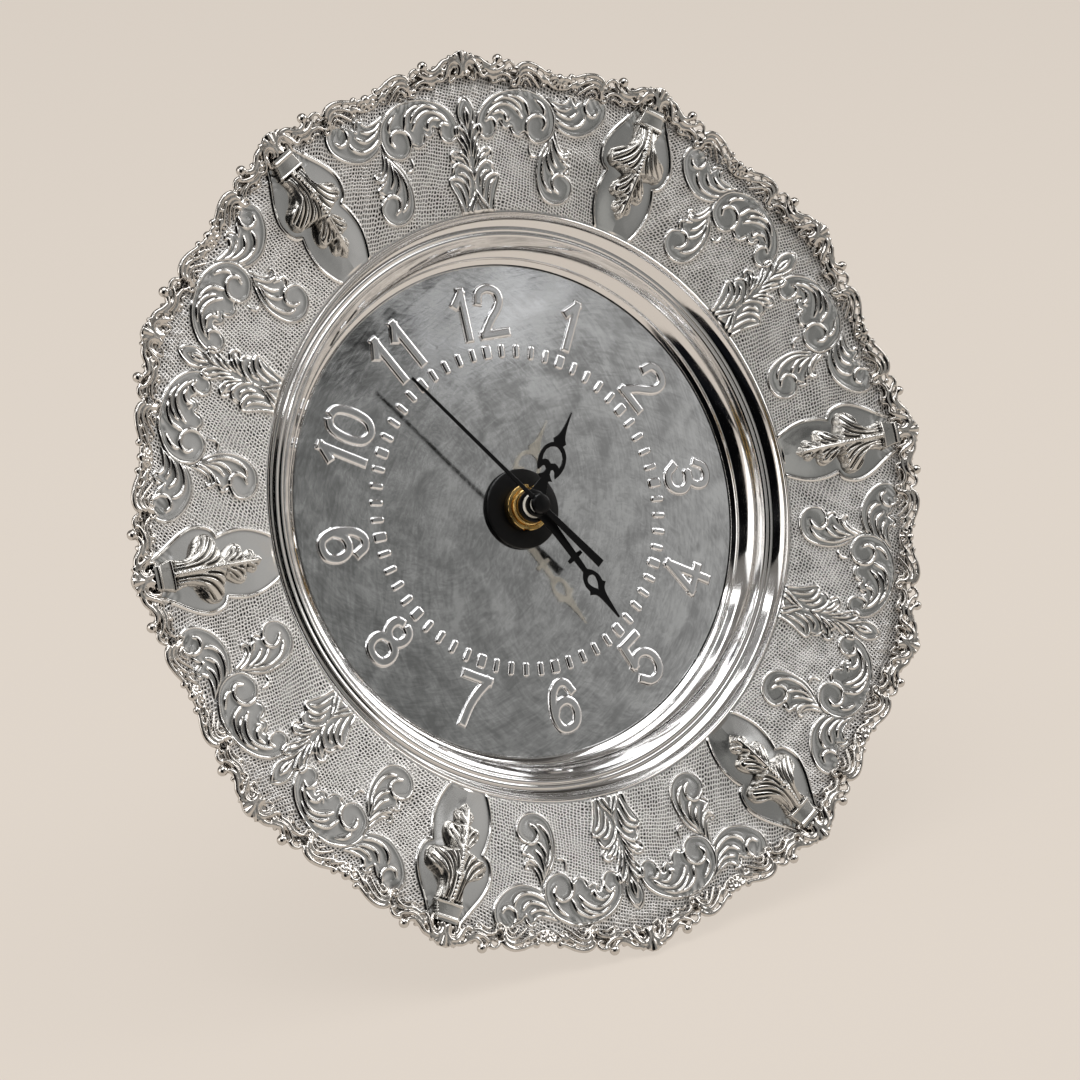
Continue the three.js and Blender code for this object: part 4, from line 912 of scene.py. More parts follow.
@dataclass
class Studio:
    """Camera, floor and soft light. The camera's place is in millimetres on the face, other lengths in metres."""

    face: Face
    stand: Triple = (-296.9, -19.8, 522.6)
    aim: Triple = (3.0, -7.28, 0.0)
    upright: Triple = (0.17467, 0.97684, 0.12363)
    lens: float = 93.33
    sensor: float = 36.0
    clip: Point = (0.01, 100.0)
    backdrop: str = "#DDD3C8"
    fill: str = "#F1EFEC"
    fill_strength: float = 0.45
    floor: Point = (12.0, 12.0)
    floor_glow: float = 0.9

    def set_camera(self) -> None:
        """Stands the camera where the photograph was taken from."""
        data = bpy.data.cameras.new("camera")
        data.lens, data.sensor_width = self.lens, self.sensor
        data.clip_start, data.clip_end = self.clip
        camera = linked("camera", data)
        here = self.face.point(*self.stand)
        back = (here - self.face.point(*self.aim)).normalized()
        right = self.face.direction(*self.upright).cross(back).normalized()
        axes = Matrix((right, back.cross(right), back)).transposed().to_4x4()
        camera.matrix_world = Matrix.Translation(here) @ axes
        bpy.context.scene.camera = camera

    @staticmethod
    def shows_backdrop(tree: Tree) -> Node:
        """Finds the rays that see the backdrop's own colour: the camera's, and those off metal or through glass.

        Args:
            tree: The nodes of the backdrop.

        Returns:
            The node that gives 1 for them.
        """
        rays = add_node(tree, "LightPath").outputs
        seen = add_node(tree, "Math", {0: rays["Is Camera Ray"], 1: rays["Is Glossy Ray"]}, operation="MAXIMUM")
        return add_node(tree, "Math", {0: seen, 1: rays["Is Transmission Ray"]}, operation="MAXIMUM")

    def set_world(self) -> None:
        """Gives the room its backdrop colour and a plain fill."""
        world = bpy.data.worlds.new("studio")
        tree = emptied(world)
        fill = add_node(tree, "Background", {"Color": srgb(self.fill), "Strength": self.fill_strength})
        shown = add_node(tree, "Background", {"Color": srgb(self.backdrop)})
        mixed = add_node(tree, "MixShader", {0: self.shows_backdrop(tree), 1: fill, 2: shown})
        add_node(tree, "OutputWorld", {"Surface": mixed})
        bpy.context.scene.world = world

    @staticmethod
    def lay_sheet(name: str, material: str, size: Point) -> tuple[bpy.types.Object, Tree]:
        """Lays a flat sheet of the studio's own.

        Args:
            name: The sheet's name.
            material: Its material's name.
            size: Width and depth in metres.

        Returns:
            The sheet and its material's nodes, still empty.
        """
        x, y = size[0] / 2, size[1] / 2
        mesh = bpy.data.meshes.new(name)
        mesh.from_pydata([(-x, -y, 0), (x, -y, 0), (x, y, 0), (-x, y, 0)], [], [(0, 1, 2, 3)])
        mesh.materials.append(bpy.data.materials.new(material))
        sheet = linked(name, mesh)
        return sheet, emptied(mesh.materials[0])

    def lay_floor(self) -> None:
        """Lays the pale floor, which takes the clock's soft shadow."""
        _, tree = self.lay_sheet("floor", "pale_paper_floor", self.floor)
        paper = add_node(tree, "BsdfDiffuse", {"Color": srgb(self.backdrop)})
        glow = add_node(tree, "Emission", {"Color": srgb(self.backdrop)})
        share = add_node(tree, "Math", {0: self.shows_backdrop(tree), 1: self.floor_glow}, operation="MULTIPLY")
        mixed = add_node(tree, "MixShader", {0: share, 1: paper, 2: glow})
        add_node(tree, "OutputMaterial", {"Surface": mixed})

    def aimed(self, azimuth: float, elevation: float, distance: float) -> Matrix:
        """A place round the clock that faces its middle.

        Args:
            azimuth: Degrees round from the front, to the right.
            elevation: Degrees above the table.
            distance: Metres from the middle of the dial.

        Returns:
            The matrix of an object there whose -z axis points at the clock.
        """
        a, e = math.radians(azimuth), math.radians(elevation)
        away = Vector((math.sin(a) * math.cos(e), -math.cos(a) * math.cos(e), math.sin(e)))
        turn = (-away).to_track_quat("-Z", "Y").to_matrix().to_4x4()
        return Matrix.Translation(self.face.point(0, 0, 0) + away * distance) @ turn

    def hang_lamp(self, name: str, azimuth: float, elevation: float, distance: float,
                  size: Point, watts: float) -> None:
        """Hangs one softbox.

        Args:
            name: The lamp's name.
            azimuth: Degrees round from the front, to the right.
            elevation: Degrees above the table.
            distance: Metres from the dial.
            size: Width and height in metres.
            watts: Its power.
        """
        data = bpy.data.lights.new(name, "AREA")
        data.shape, data.size, data.size_y, data.energy = "RECTANGLE", *size, watts
        linked(name, data).matrix_world = self.aimed(azimuth, elevation, distance)

    def hang_card(self, name: str, place: Matrix, size: Point, shade: str, far_shade: str = "",
                  blend: float = 0.0) -> None:
        """Hangs a graded card that only polished surfaces see, as a photographer does to draw the forms of silver.

        Args:
            name: The card's name.
            place: Where it hangs.
            size: Width and height in metres.
            shade: Its colour, or that of its left half.
            far_shade: Colour of its right half, if that is another.
            blend: Half the width in metres over which they run together.
        """
        card, tree = self.lay_sheet(name, name, size)
        spot = add_node(tree, "TexCoord").outputs["Object"]
        across = add_node(tree, "SeparateXYZ", {"Vector": spot}).outputs["X"]
        share = add_node(tree, "MapRange", {"Value": across, "From Min": -blend, "From Max": blend})
        colour = add_node(tree, "Mix", {
            "Factor": share, "A": srgb(shade), "B": srgb(far_shade or shade)}, data_type="RGBA")
        glow = add_node(tree, "Emission", {"Color": colour})
        add_node(tree, "OutputMaterial", {"Surface": glow})
        card.matrix_world = place
        card.visible_camera = card.visible_diffuse = card.visible_shadow = False
        card.visible_transmission = card.visible_volume_scatter = False

    def build(self) -> None:
        """Sets camera, room, floor, lamps and cards."""
        self.set_camera()
        bpy.context.scene.view_settings.view_transform = "Standard"
        self.set_world()
        self.lay_floor()
        self.hang_lamp("softbox_key", -58, 66, 1.3, (0.8, 0.6), 9.5)
        self.hang_lamp("softbox_fill", 78, 30, 1.4, (0.5, 0.8), 5.0)
        self.hang_lamp("softbox_top", 25, 80, 1.2, (1.0, 0.7), 6.0)
        self.hang_lamp("softbox_left", -96, 20, 1.3, (0.8, 1.0), 3.2)
        self.hang_card("card_ceiling", Matrix.Translation((0, 0, 1.6)), (4.0, 4.0), "#787470")
        self.hang_card("card_key", self.aimed(-58, 66, 1.2), (0.62, 0.44), "#62605E")
        self.hang_card("card_black", self.aimed(-38, 19, 0.95), (1.3, 0.92), "#060607")
        self.hang_card("card_floor", Matrix.Translation((-0.55, -0.55, 0.003)), (0.9, 0.8), "#101114")
        self.hang_card("card_front", self.aimed(13, 16, 0.97), (0.32, 0.6), "#9E9E9B")
        self.hang_card("card_grey", self.aimed(35, 20, 0.95), (0.44, 0.62), "#767674", "#B0AFAD", 0.14)
        self.hang_card("card_top", self.aimed(30, 29.1, 0.94), (0.5, 0.025), "#2E2E2E")
        self.hang_card("card_window", self.aimed(34.6, 28.2, 0.92), (0.08, 0.03), "#FFFFFF")
        self.hang_card("card_side", self.aimed(56, 17, 0.95), (0.24, 0.56), "#B2AFAB")
        self.hang_card("card_right", self.aimed(112, 8, 0.95), (1.1, 0.5), "#3C3C3E", "#A69D93", 0.12)
        self.hang_card("card_high", self.aimed(120, 42, 0.95), (0.9, 0.6), "#45423F")
        self.hang_card("card_back", self.aimed(180, 10, 1.2), (2.2, 1.0), "#46433F")


@dataclass
class Chasing:
    """The repeating scrollwork of the border: half of a sixth, from a palmette's axis to a leaf mount's.

    Lines give the distance from the palmette's axis, in millimetres as measured at middle_radius, and the radius.
    """

    middle_radius: float = 80.0
    sector_deg: float = 30.0
    ridge: float = 0.34
    ridge_width: float = 0.18
    swell: float = 0.12
    swell_width: float = 0.7
    body_height: float = 0.28
    body_edge: float = 0.5
    # A line's strength at its ends, and how far from them it is full
    line_end: Point = (0.35, 1.6)
    # How far from a line, or a shield, the hatching starts, and over what width it sets in
    hatch_from: Point = (0.25, 0.3)
    hatch_from_shield: Point = (0.3, 0.3)
    shield_bead: float = 0.34
    shield_bead_width: float = 0.28
    shield_clear: float = 0.7
    # A shield's height at its edge, how much it bulges and how far in
    shield_bulge: Triple = (0.02, 0.22, 6.0)
    lines: tuple[Line, ...] = (
        # Arch that ends in a volute on both sides, with its fingers and lobes
        ((4.5, 82.2), (5.7, 82.7), (6.6, 81.7), (6.7, 80.2), (5.8, 78.9), (4.3, 78.6), (2.9, 79.5), (2.4, 81.1),
         (2.7, 82.9), (3.7, 84.7), (5.8, 86.7), (8.9, 88.2), (12.4, 88.8), (15.2, 88.5), (17.8, 87.3), (19.6, 85.7),
         (20.6, 83.5), (20.7, 81.4), (20.2, 79.7), (18.8, 78.5), (17, 77.9), (15.4, 78.4), (14.3, 79.8),
         (14.2, 81.7), (15.1, 83.1), (16.7, 83.7), (17.9, 83.3), (18.6, 82.1), (18.1, 80.8)),
        ((4.7, 82.9), (5.9, 84.4), (7.9, 85.6), (9.8, 85.6), (11.7, 84.5), (13, 82.9)),
        ((6.3, 83.6), (7.8, 84.1), (9, 83.4), (9.4, 82.2), (10.1, 82.6)),
        ((9.4, 87.3), (11.9, 87.1), (13.7, 86), (14.4, 84.4), (14.9, 83.1)),
        ((7.9, 82.2), (8.4, 81.1), (9.4, 80.6), (10.3, 81.1), (10.5, 80.4), (11.2, 79.4), (12.5, 79), (13.9, 79.7)),
        ((16.1, 86.8), (17.5, 85.8), (18.2, 84.6), (18.1, 83.6)),
        ((6.5, 85.8), (8.7, 87), (10.8, 86.6), (12.2, 85.5), (12.8, 84.6)),
        # Leaf that sweeps up to the next volute
        ((20.8, 82.3), (22.5, 81.2), (24.6, 80.6), (26.7, 80.7), (28.8, 81.7), (30.6, 83.3), (31.8, 85.4), (32, 87.1),
         (31.6, 88.7), (30.6, 89.7), (29.2, 89.9), (27.9, 89.2), (27.3, 87.9), (27.5, 86.5), (28.5, 85.7),
         (29.6, 85.8), (30.3, 86.8)),
        ((20.7, 83.6), (22.9, 82.5), (25, 82.3), (26.6, 83), (27.5, 84.2), (27.7, 85.2)),
        ((20, 85.7), (21.8, 84.5), (23.8, 84.1), (25, 84.7), (25.8, 85.8)),
        ((19.3, 86.7), (21.1, 85.6), (22.8, 85.6), (24.1, 86.3)),
        ((18.4, 87.6), (20.7, 86.9), (22.4, 86.9), (23.3, 87.9), (23.1, 88.6), (23.9, 89), (24.8, 88.4), (25.2, 87.3)),
        ((25.2, 86.7), (26.3, 88), (27.6, 88.9)),
        # Leaf that drops to the inner volute
        ((19.8, 78.5), (18.1, 75.6), (17.4, 72.9), (17.5, 70), (18.4, 67.6), (20.1, 66.1), (22.5, 65.5), (24.8, 65.9),
         (26.5, 67.1), (27.2, 68.8), (26.9, 70.4), (25.5, 71.5), (23.6, 72), (22.2, 71.4), (21.6, 70.1), (22.3, 68.7),
         (23.7, 68)),
        ((20, 77.5), (18.8, 74.7), (18.5, 72.4), (19.1, 70), (20.5, 68.5), (21.7, 68)),
        ((20.2, 77.1), (19.8, 74.9), (20.4, 73.1), (21.4, 72), (22.2, 71.5)),
        ((20.4, 77.8), (20.8, 75.8), (21.4, 74.4), (22.4, 73.4)),
        ((20.8, 79.3), (21.5, 77.5), (22.5, 76.2), (23.9, 75.4), (24.9, 75.9), (25.1, 76.9), (24.3, 77.3)),
        ((21.2, 80.7), (21.8, 78.8), (22.8, 77.2), (24, 76.6)),
        ((23.2, 75), (24.8, 74.3), (25.8, 73.8), (25.5, 72.6), (24.6, 72.1)),
        ((15.1, 77.2), (15.1, 75.9), (15.8, 75), (17.1, 75)),
        # Palmette
        ((0, 87.6), (1.1, 86.4), (1.8, 84.4), (1.5, 82.3), (0.6, 80.2), (0, 78.1)),
        ((0, 85.2), (0.4, 83.6), (0.3, 82.2), (0, 81)),
        ((-0.3, 74.7), (-0.1, 77.1), (0.4, 79.1), (1.3, 80.7), (2.5, 81.5), (3.1, 80.7), (2.9, 79.4), (2.1, 77.8),
         (1.3, 76.1), (0.8, 74.4)),
        ((0.4, 75.3), (0.9, 77.4), (1.9, 79.6)),
        ((0.6, 72.7), (1.6, 74.9), (2.9, 76.2), (4.2, 76.6), (5.2, 75.9), (5.1, 74.8), (4, 74)),
        ((1.5, 73.3), (2.6, 74.9), (4, 75.6)),
        ((0, 70.2), (0.9, 72), (2.4, 73.4), (3.9, 73.9), (5.1, 73.2), (5.6, 71.8)),
        ((1.5, 68.9), (1.8, 70.5), (2.9, 71.7), (4, 71.9)),
        ((2, 66.7), (2.3, 68.5), (3.1, 70.1), (4.6, 71), (6.1, 71.2), (6.8, 70.4), (6.3, 68.9), (5.4, 66.9),
         (4.8, 64.4), (4.5, 62.5)),
        ((3.3, 64.8), (3.7, 67.3), (4.5, 69.2), (5.7, 70.1)),
        ((0, 69.5), (-0.3, 68), (0.1, 66.3), (1.2, 64.4), (2.3, 62.5)),
        ((0, 68), (1, 66.4), (2.7, 64.5), (3.4, 62.5)),
    )
    shield: Line = (
        (2.6, 93.5), (3.4, 91.0), (5.0, 88.0), (7.2, 84.5), (8.5, 81.5), (8.6, 79.0), (7.9, 77.0), (6.4, 75.9))
    shield_foot: Line = (
        (6.4, 75.9), (7.2, 73.6), (7.7, 70.6), (7.5, 68.0), (6.7, 65.5), (5.4, 63.2), (3.0, 61.5))

    def bodies(self) -> list[list[Point]]:
        """Draws round what is raised as a whole.

        Returns:
            The outlines of the arch, the sweeping leaf, the dropping leaf and the palmette.
        """
        arch, lobes, sweep, drop = (self.lines[i] for i in (0, 4, 7, 13))
        return [
            [*arch[6:22], *lobes[:4:-1], *lobes[3::-1], *arch[3:6]],
            [*sweep[:12], (26.3, 88), (25.2, 87.3), (23.9, 89), (22.4, 86.9), (20.7, 86.9), (18.4, 87.6), (20, 85)],
            [*drop[:12], (24.6, 72.1), (25.8, 73.8), (24.8, 74.3), (25.1, 76.9), (24, 76.6), (22.8, 77.2), (21.8, 78.8),
             (20.8, 80)],
            [(-0.5, 87.6), (1.1, 86.4), (1.8, 84.4), (1.5, 82.3), (2.5, 81.5), (3.1, 80.7), (2.1, 77.8), (2.9, 76.2),
             (4.2, 76.6), (5.2, 75.9), (4, 74), (5.1, 73.2), (5.6, 71.8), (6.8, 70.4), (5.4, 66.9), (4.5, 62.5),
             (-0.5, 62.5)]]

    def relief(self, arc: Array, radius: Array) -> tuple[Array, Array]:
        """Works out the raised work at places on the border.

        Args:
            arc: Distance from the palmette's axis, as measured at middle_radius.
            radius: Distance from the hand axis.

        Returns:
            Height above the ground in millimetres, and the share of hatched ground.
        """
        at = np.column_stack([arc, radius])
        body = np.zeros(len(at))
        for outline in self.bodies():
            edge = smooth_line([*outline, outline[0]], 4)
            body = np.maximum(body, within(at, edge) * eased(line_distance(at, edge)[0] / self.body_edge))
        height = self.body_height * body
        nearest = np.full(len(at), np.inf)
        for line in self.lines:
            away, from_end = line_distance(at, smooth_line(line, 6))
            raised = grown(from_end, *self.line_end) * (
                self.ridge * ridge(away, self.ridge_width) + self.swell * ridge(away, self.swell_width))
            height = np.maximum(height, self.body_height * body + raised)
            nearest = np.minimum(nearest, away)
        begins, width = self.hatch_from
        ground = (1 - body) * eased((nearest - begins) / width)
        axis = math.radians(self.sector_deg) * self.middle_radius
        edge = np.vstack([smooth_line(self.shield, 6), smooth_line(self.shield_foot, 6)])
        edge[:, 0] = axis - edge[:, 0]
        closed = np.vstack([edge, [axis + 2, edge[-1, 1]], [axis + 2, edge[0, 1]]])
        plain = within(at, closed)
        away = line_distance(at, edge)[0]
        bead = self.shield_bead * ridge(away, self.shield_bead_width)
        low, bulge, reach = self.shield_bulge
        height = np.where(plain, low + bulge * eased(away / reach), height * eased(away / self.shield_clear)) + bead
        begins, width = self.hatch_from_shield
        return height, np.where(plain, 0.0, ground * eased((away - begins) / width))


@dataclass
class Dish(Assembly):
    """The spun dish: floor under the dial, bead, coves, reeds and the chased border."""

    sheet: float = 0.9
    # Under the chased border the sheet is only this thick, and its two chased sides lie outside it
    core: float = 0.30
    shows_through: float = 0.7
    dull_behind: float = 0.35
    sides: int = 360
    hole: float = 4.25
    seat: float = 53.5
    floor: float = -1.1
    # The ledge round the dial: distance from the seat and height
    ledge: Line = (
        (0, 0.1), (0.05, 0.16), (0.9, 0.54), (1.02, 0.62), (1.14, 0.98), (1.28, 1.2), (1.42, 1.2))
    cove_bend: float = 18.0
    reeds: Point = (58.2, 60.5)
    reed_level: float = 6.3
    reed_height: float = 0.32
    reed_count: int = 2
    # The part of each reed that is drawn, so that a groove stays beside it, and how square it is
    reed_span: Point = (0.06, 0.94)
    reed_power: float = 0.7
    well: Point = (62.7, 9.1)
    # The lip round the well: distance out from it and height above it
    lip: Line = ((0.15, 0.12), (0.5, 0.0))
    border_edge: float = 91.4
    slope_deg: float = 9.5
    roll_from: float = 86.0
    roll: float = 0.009
    # Height of the crumples, the width over which they set in, and the sizes and number of their waves
    crumple: float = 0.07
    crumple_fade: float = 3.0
    crumple_size: Point = (1.6, 4.2)
    crumple_waves: int = 18
    # The sum of their waves that counts as 1
    crumple_most: float = 5.0
    seed: int = 11
    panels: int = 6
    # How far outside the well the panels start, in front and behind, and over what width their relief sets in
    panel_from: Point = (0.3, 0.9)
    panel_fade: Point = (0.8, 1.5)
    arc_steps: int = 300
    radius_steps: int = 203
    # The spun sheet lies this far under the chased ground
    sunk: float = 0.25
    # Rounds of smoothing and depth that make a hollow, which takes tarnish and painted shade, in front and behind
    hollow: tuple[int, float] = (26, 0.12)
    hollow_behind: tuple[int, float] = (26, 0.2)

    def level(self, radius: Array | float) -> Array | float:
        """Height of the border's ground at a radius."""
        return self.well[1] + (radius - self.well[0]) * math.tan(math.radians(self.slope_deg))

    @staticmethod
    def cove(start: Point, end: Point, bend: float, steps: int = 16) -> list[Point]:
        """A hollow arc.

        Args:
            start: Radius and height of its lower end.
            end: Radius and height of its upper end.
            bend: Degrees that it turns up on each side of its chord.
            steps: Points along it.

        Returns:
            Radius and height of each point.
        """
        across, up = end[0] - start[0], end[1] - start[1]
        half = math.radians(bend)
        turns = np.linspace(-half, half, steps)
        along = (np.sin(turns) + math.sin(half)) / (2 * math.sin(half))
        sag = (np.cos(turns) - math.cos(half)) / (2 * math.sin(half))
        return [(start[0] + across * a + up * s, start[1] + up * a - across * s) for a, s in zip(along, sag)]

    def profile(self) -> tuple[list[Point], list[Point]]:
        """The section of the sheet.

        Returns:
            Radius and height of each point along its front outwards, and behind it back again.
        """
        ledge = [(self.seat + out, level) for out, level in self.ledge]
        inner = self.cove(ledge[-1], (self.reeds[0], self.reed_level), self.cove_bend)
        outer = self.cove((self.reeds[1], self.reed_level), self.well, self.cove_bend)
        width = (self.reeds[1] - self.reeds[0]) / self.reed_count
        reeds = [(self.reeds[0] + width * (i + t),
                  self.reed_level + self.reed_height * math.sin(math.pi * t) ** self.reed_power)
                 for i in range(self.reed_count) for t in np.linspace(*self.reed_span, 10)]
        lip = [(self.well[0] + out, self.well[1] + up) for out, up in self.lip]
        edge = [(r, self.level(r) - self.sunk - self.roll * (r - self.roll_from) ** 2)
                for r in np.linspace(self.roll_from, self.border_edge, 6)]
        front = [(self.hole, self.floor), (self.seat, self.floor), *ledge, *inner, *reeds, *outer, *lip, *edge]
        line = np.array([(self.hole, self.floor), (self.seat, self.floor), *inner, *outer, *edge])
        run = np.gradient(line, axis=0)
        run /= np.hypot(*run.T)[:, None]
        thick = np.full((len(line), 1), self.sheet)
        thick[-len(edge):] = self.core - self.sunk
        behind = line + thick * np.column_stack([run[:, 1], -run[:, 0]])
        behind[0] = (self.hole, self.floor - self.sheet)
        return front, [tuple(point) for point in behind[::-1]]

    def crumples(self, arc: Array, radius: Array) -> Array:
        """The uneven surface where the border rolls off under the rim.

        Args:
            arc: Distance round the border.
            radius: Distance from the hand axis.

        Returns:
            Height from -1 to 1.
        """
        draw = np.random.default_rng(self.seed)
        total = np.zeros(len(arc))
        for size in np.linspace(*self.crumple_size, self.crumple_waves):
            turn, shift = draw.uniform(0, math.pi), draw.uniform(0, FULL_TURN)
            total += np.cos(FULL_TURN / size * (arc * math.cos(turn) + radius * math.sin(turn)) + shift)
        return total / self.crumple_most

    def border_panel(self) -> tuple[Form, dict[str, Array], Array]:
        """One sixth of the chased border, with a palmette in its middle.

        Returns:
            Its form, the shares of hatched ground and of hollow at each point, and each point's place on the flat
            sheet in mm.
        """
        chasing = Chasing()
        half = math.radians(chasing.sector_deg)
        turn = np.linspace(0, half, self.arc_steps + 1)
        radius = np.linspace(self.well[0] + self.panel_from[0], self.border_edge, self.radius_steps + 1)
        turns, radii = np.meshgrid(turn, radius)
        height, ground = chasing.relief(turns.ravel() * chasing.middle_radius, radii.ravel())
        arcs = turns.ravel() * radii.ravel()
        inner = eased((radii.ravel() - radius[0]) / self.panel_fade[0])
        uneven = self.crumples(arcs, radii.ravel())
        past = np.maximum(radii.ravel() - self.roll_from, 0)
        height = height * inner + (self.crumple * eased(past / self.crumple_fade) * uneven - self.roll * past**2)
        height = height.reshape(turns.shape)
        ground = (ground * inner).reshape(turns.shape)
        whole = both_sides(turns, -1)
        height, ground, radii = map(both_sides, (height, ground, radii))
        slope = math.radians(self.slope_deg)
        raised = radii - height * math.sin(slope)
        points = np.stack([raised * np.sin(whole), raised * np.cos(whole),
                           self.level(radii) + height * math.cos(slope)], axis=-1).reshape(-1, 3)
        faces = grid_faces(*whole.shape)
        flat = np.stack([whole * radii, radii], axis=-1).reshape(-1, 2)
        form = Form(points, faces)
        # Tarnish and painted shade in the hollows beside and between the ridges, not on the hatched ground
        hollow = hollows(form, height.ravel(), *self.hollow) * (1 - ground.ravel())
        return form, {"ground": ground.ravel(), "hollow": hollow}, flat

    def border_back(self) -> tuple[Form, Array]:
        """One sixth of the border from behind, where the chasing shows as softened hollows.

        Returns:
            Its form and the share of hollow at each point.
        """
        chasing = Chasing()
        turn = np.linspace(0, math.radians(chasing.sector_deg), self.arc_steps // 2 + 1)
        radius = np.linspace(self.well[0] + self.panel_from[1], self.border_edge, self.radius_steps // 2 + 1)
        turns, radii = np.meshgrid(turn, radius)
        height = chasing.relief(turns.ravel() * chasing.middle_radius, radii.ravel())[0].reshape(turns.shape)
        height = softened(softened(height))
        inner = eased((radii - radius[0]) / self.panel_fade[1])
        past = np.maximum(radii - self.roll_from, 0)
        under = self.core + (self.sheet - self.core) * inner
        level = self.level(radii) - under + self.shows_through * height * inner - self.roll * past**2
        whole = both_sides(turns, -1)
        level, radii, height = map(both_sides, (level, radii, height))
        points = np.stack([radii * np.sin(whole), radii * np.cos(whole), level], axis=-1).reshape(-1, 3)
        form = Form(points, [tuple(reversed(face)) for face in grid_faces(*whole.shape)])
        return form, hollows(form, -height.ravel(), *self.hollow_behind)

    def build(self) -> None:
        """Makes the spun dish and the six chased panels of its border, front and back."""
        front, behind = self.profile()
        dulled = np.repeat([0.0] * len(front) + [self.dull_behind] * len(behind), self.sides)
        self.place("dish_spun", turned([*front, *behind], self.sides), POLISHED_SILVER, Body.CLOCK, Slot.DISH, ["dish"],
                   50, shares={"hollow": dulled})
        reverse, worn = self.border_back()
        for number in range(self.panels):
            self.place(f"border_back_{number + 1}", reverse.spun(number * 360 / self.panels), POLISHED_SILVER,
                       Body.CLOCK, Slot.DISH, sharp=ALL_SMOOTH_DEG,
                       shares={"hollow": self.dull_behind + (1 - self.dull_behind) * worn})
        form, shares, flat = self.border_panel()
        for number in range(self.panels):
            name = f"border_panel_{number + 1}"
            piece = self.place(name, form.spun(number * 360 / self.panels), CHASED_SILVER, Body.CLOCK, Slot.DISH,
                               sharp=ALL_SMOOTH_DEG, shares=shares)
            mesh = piece.data
            corners = np.empty(len(mesh.loops), np.int32)
            mesh.loops.foreach_get("vertex_index", corners)
            layer = mesh.uv_layers.new(name="chasing")
            layer.uv.foreach_set("vector", flat[corners].astype(np.float32).ravel())


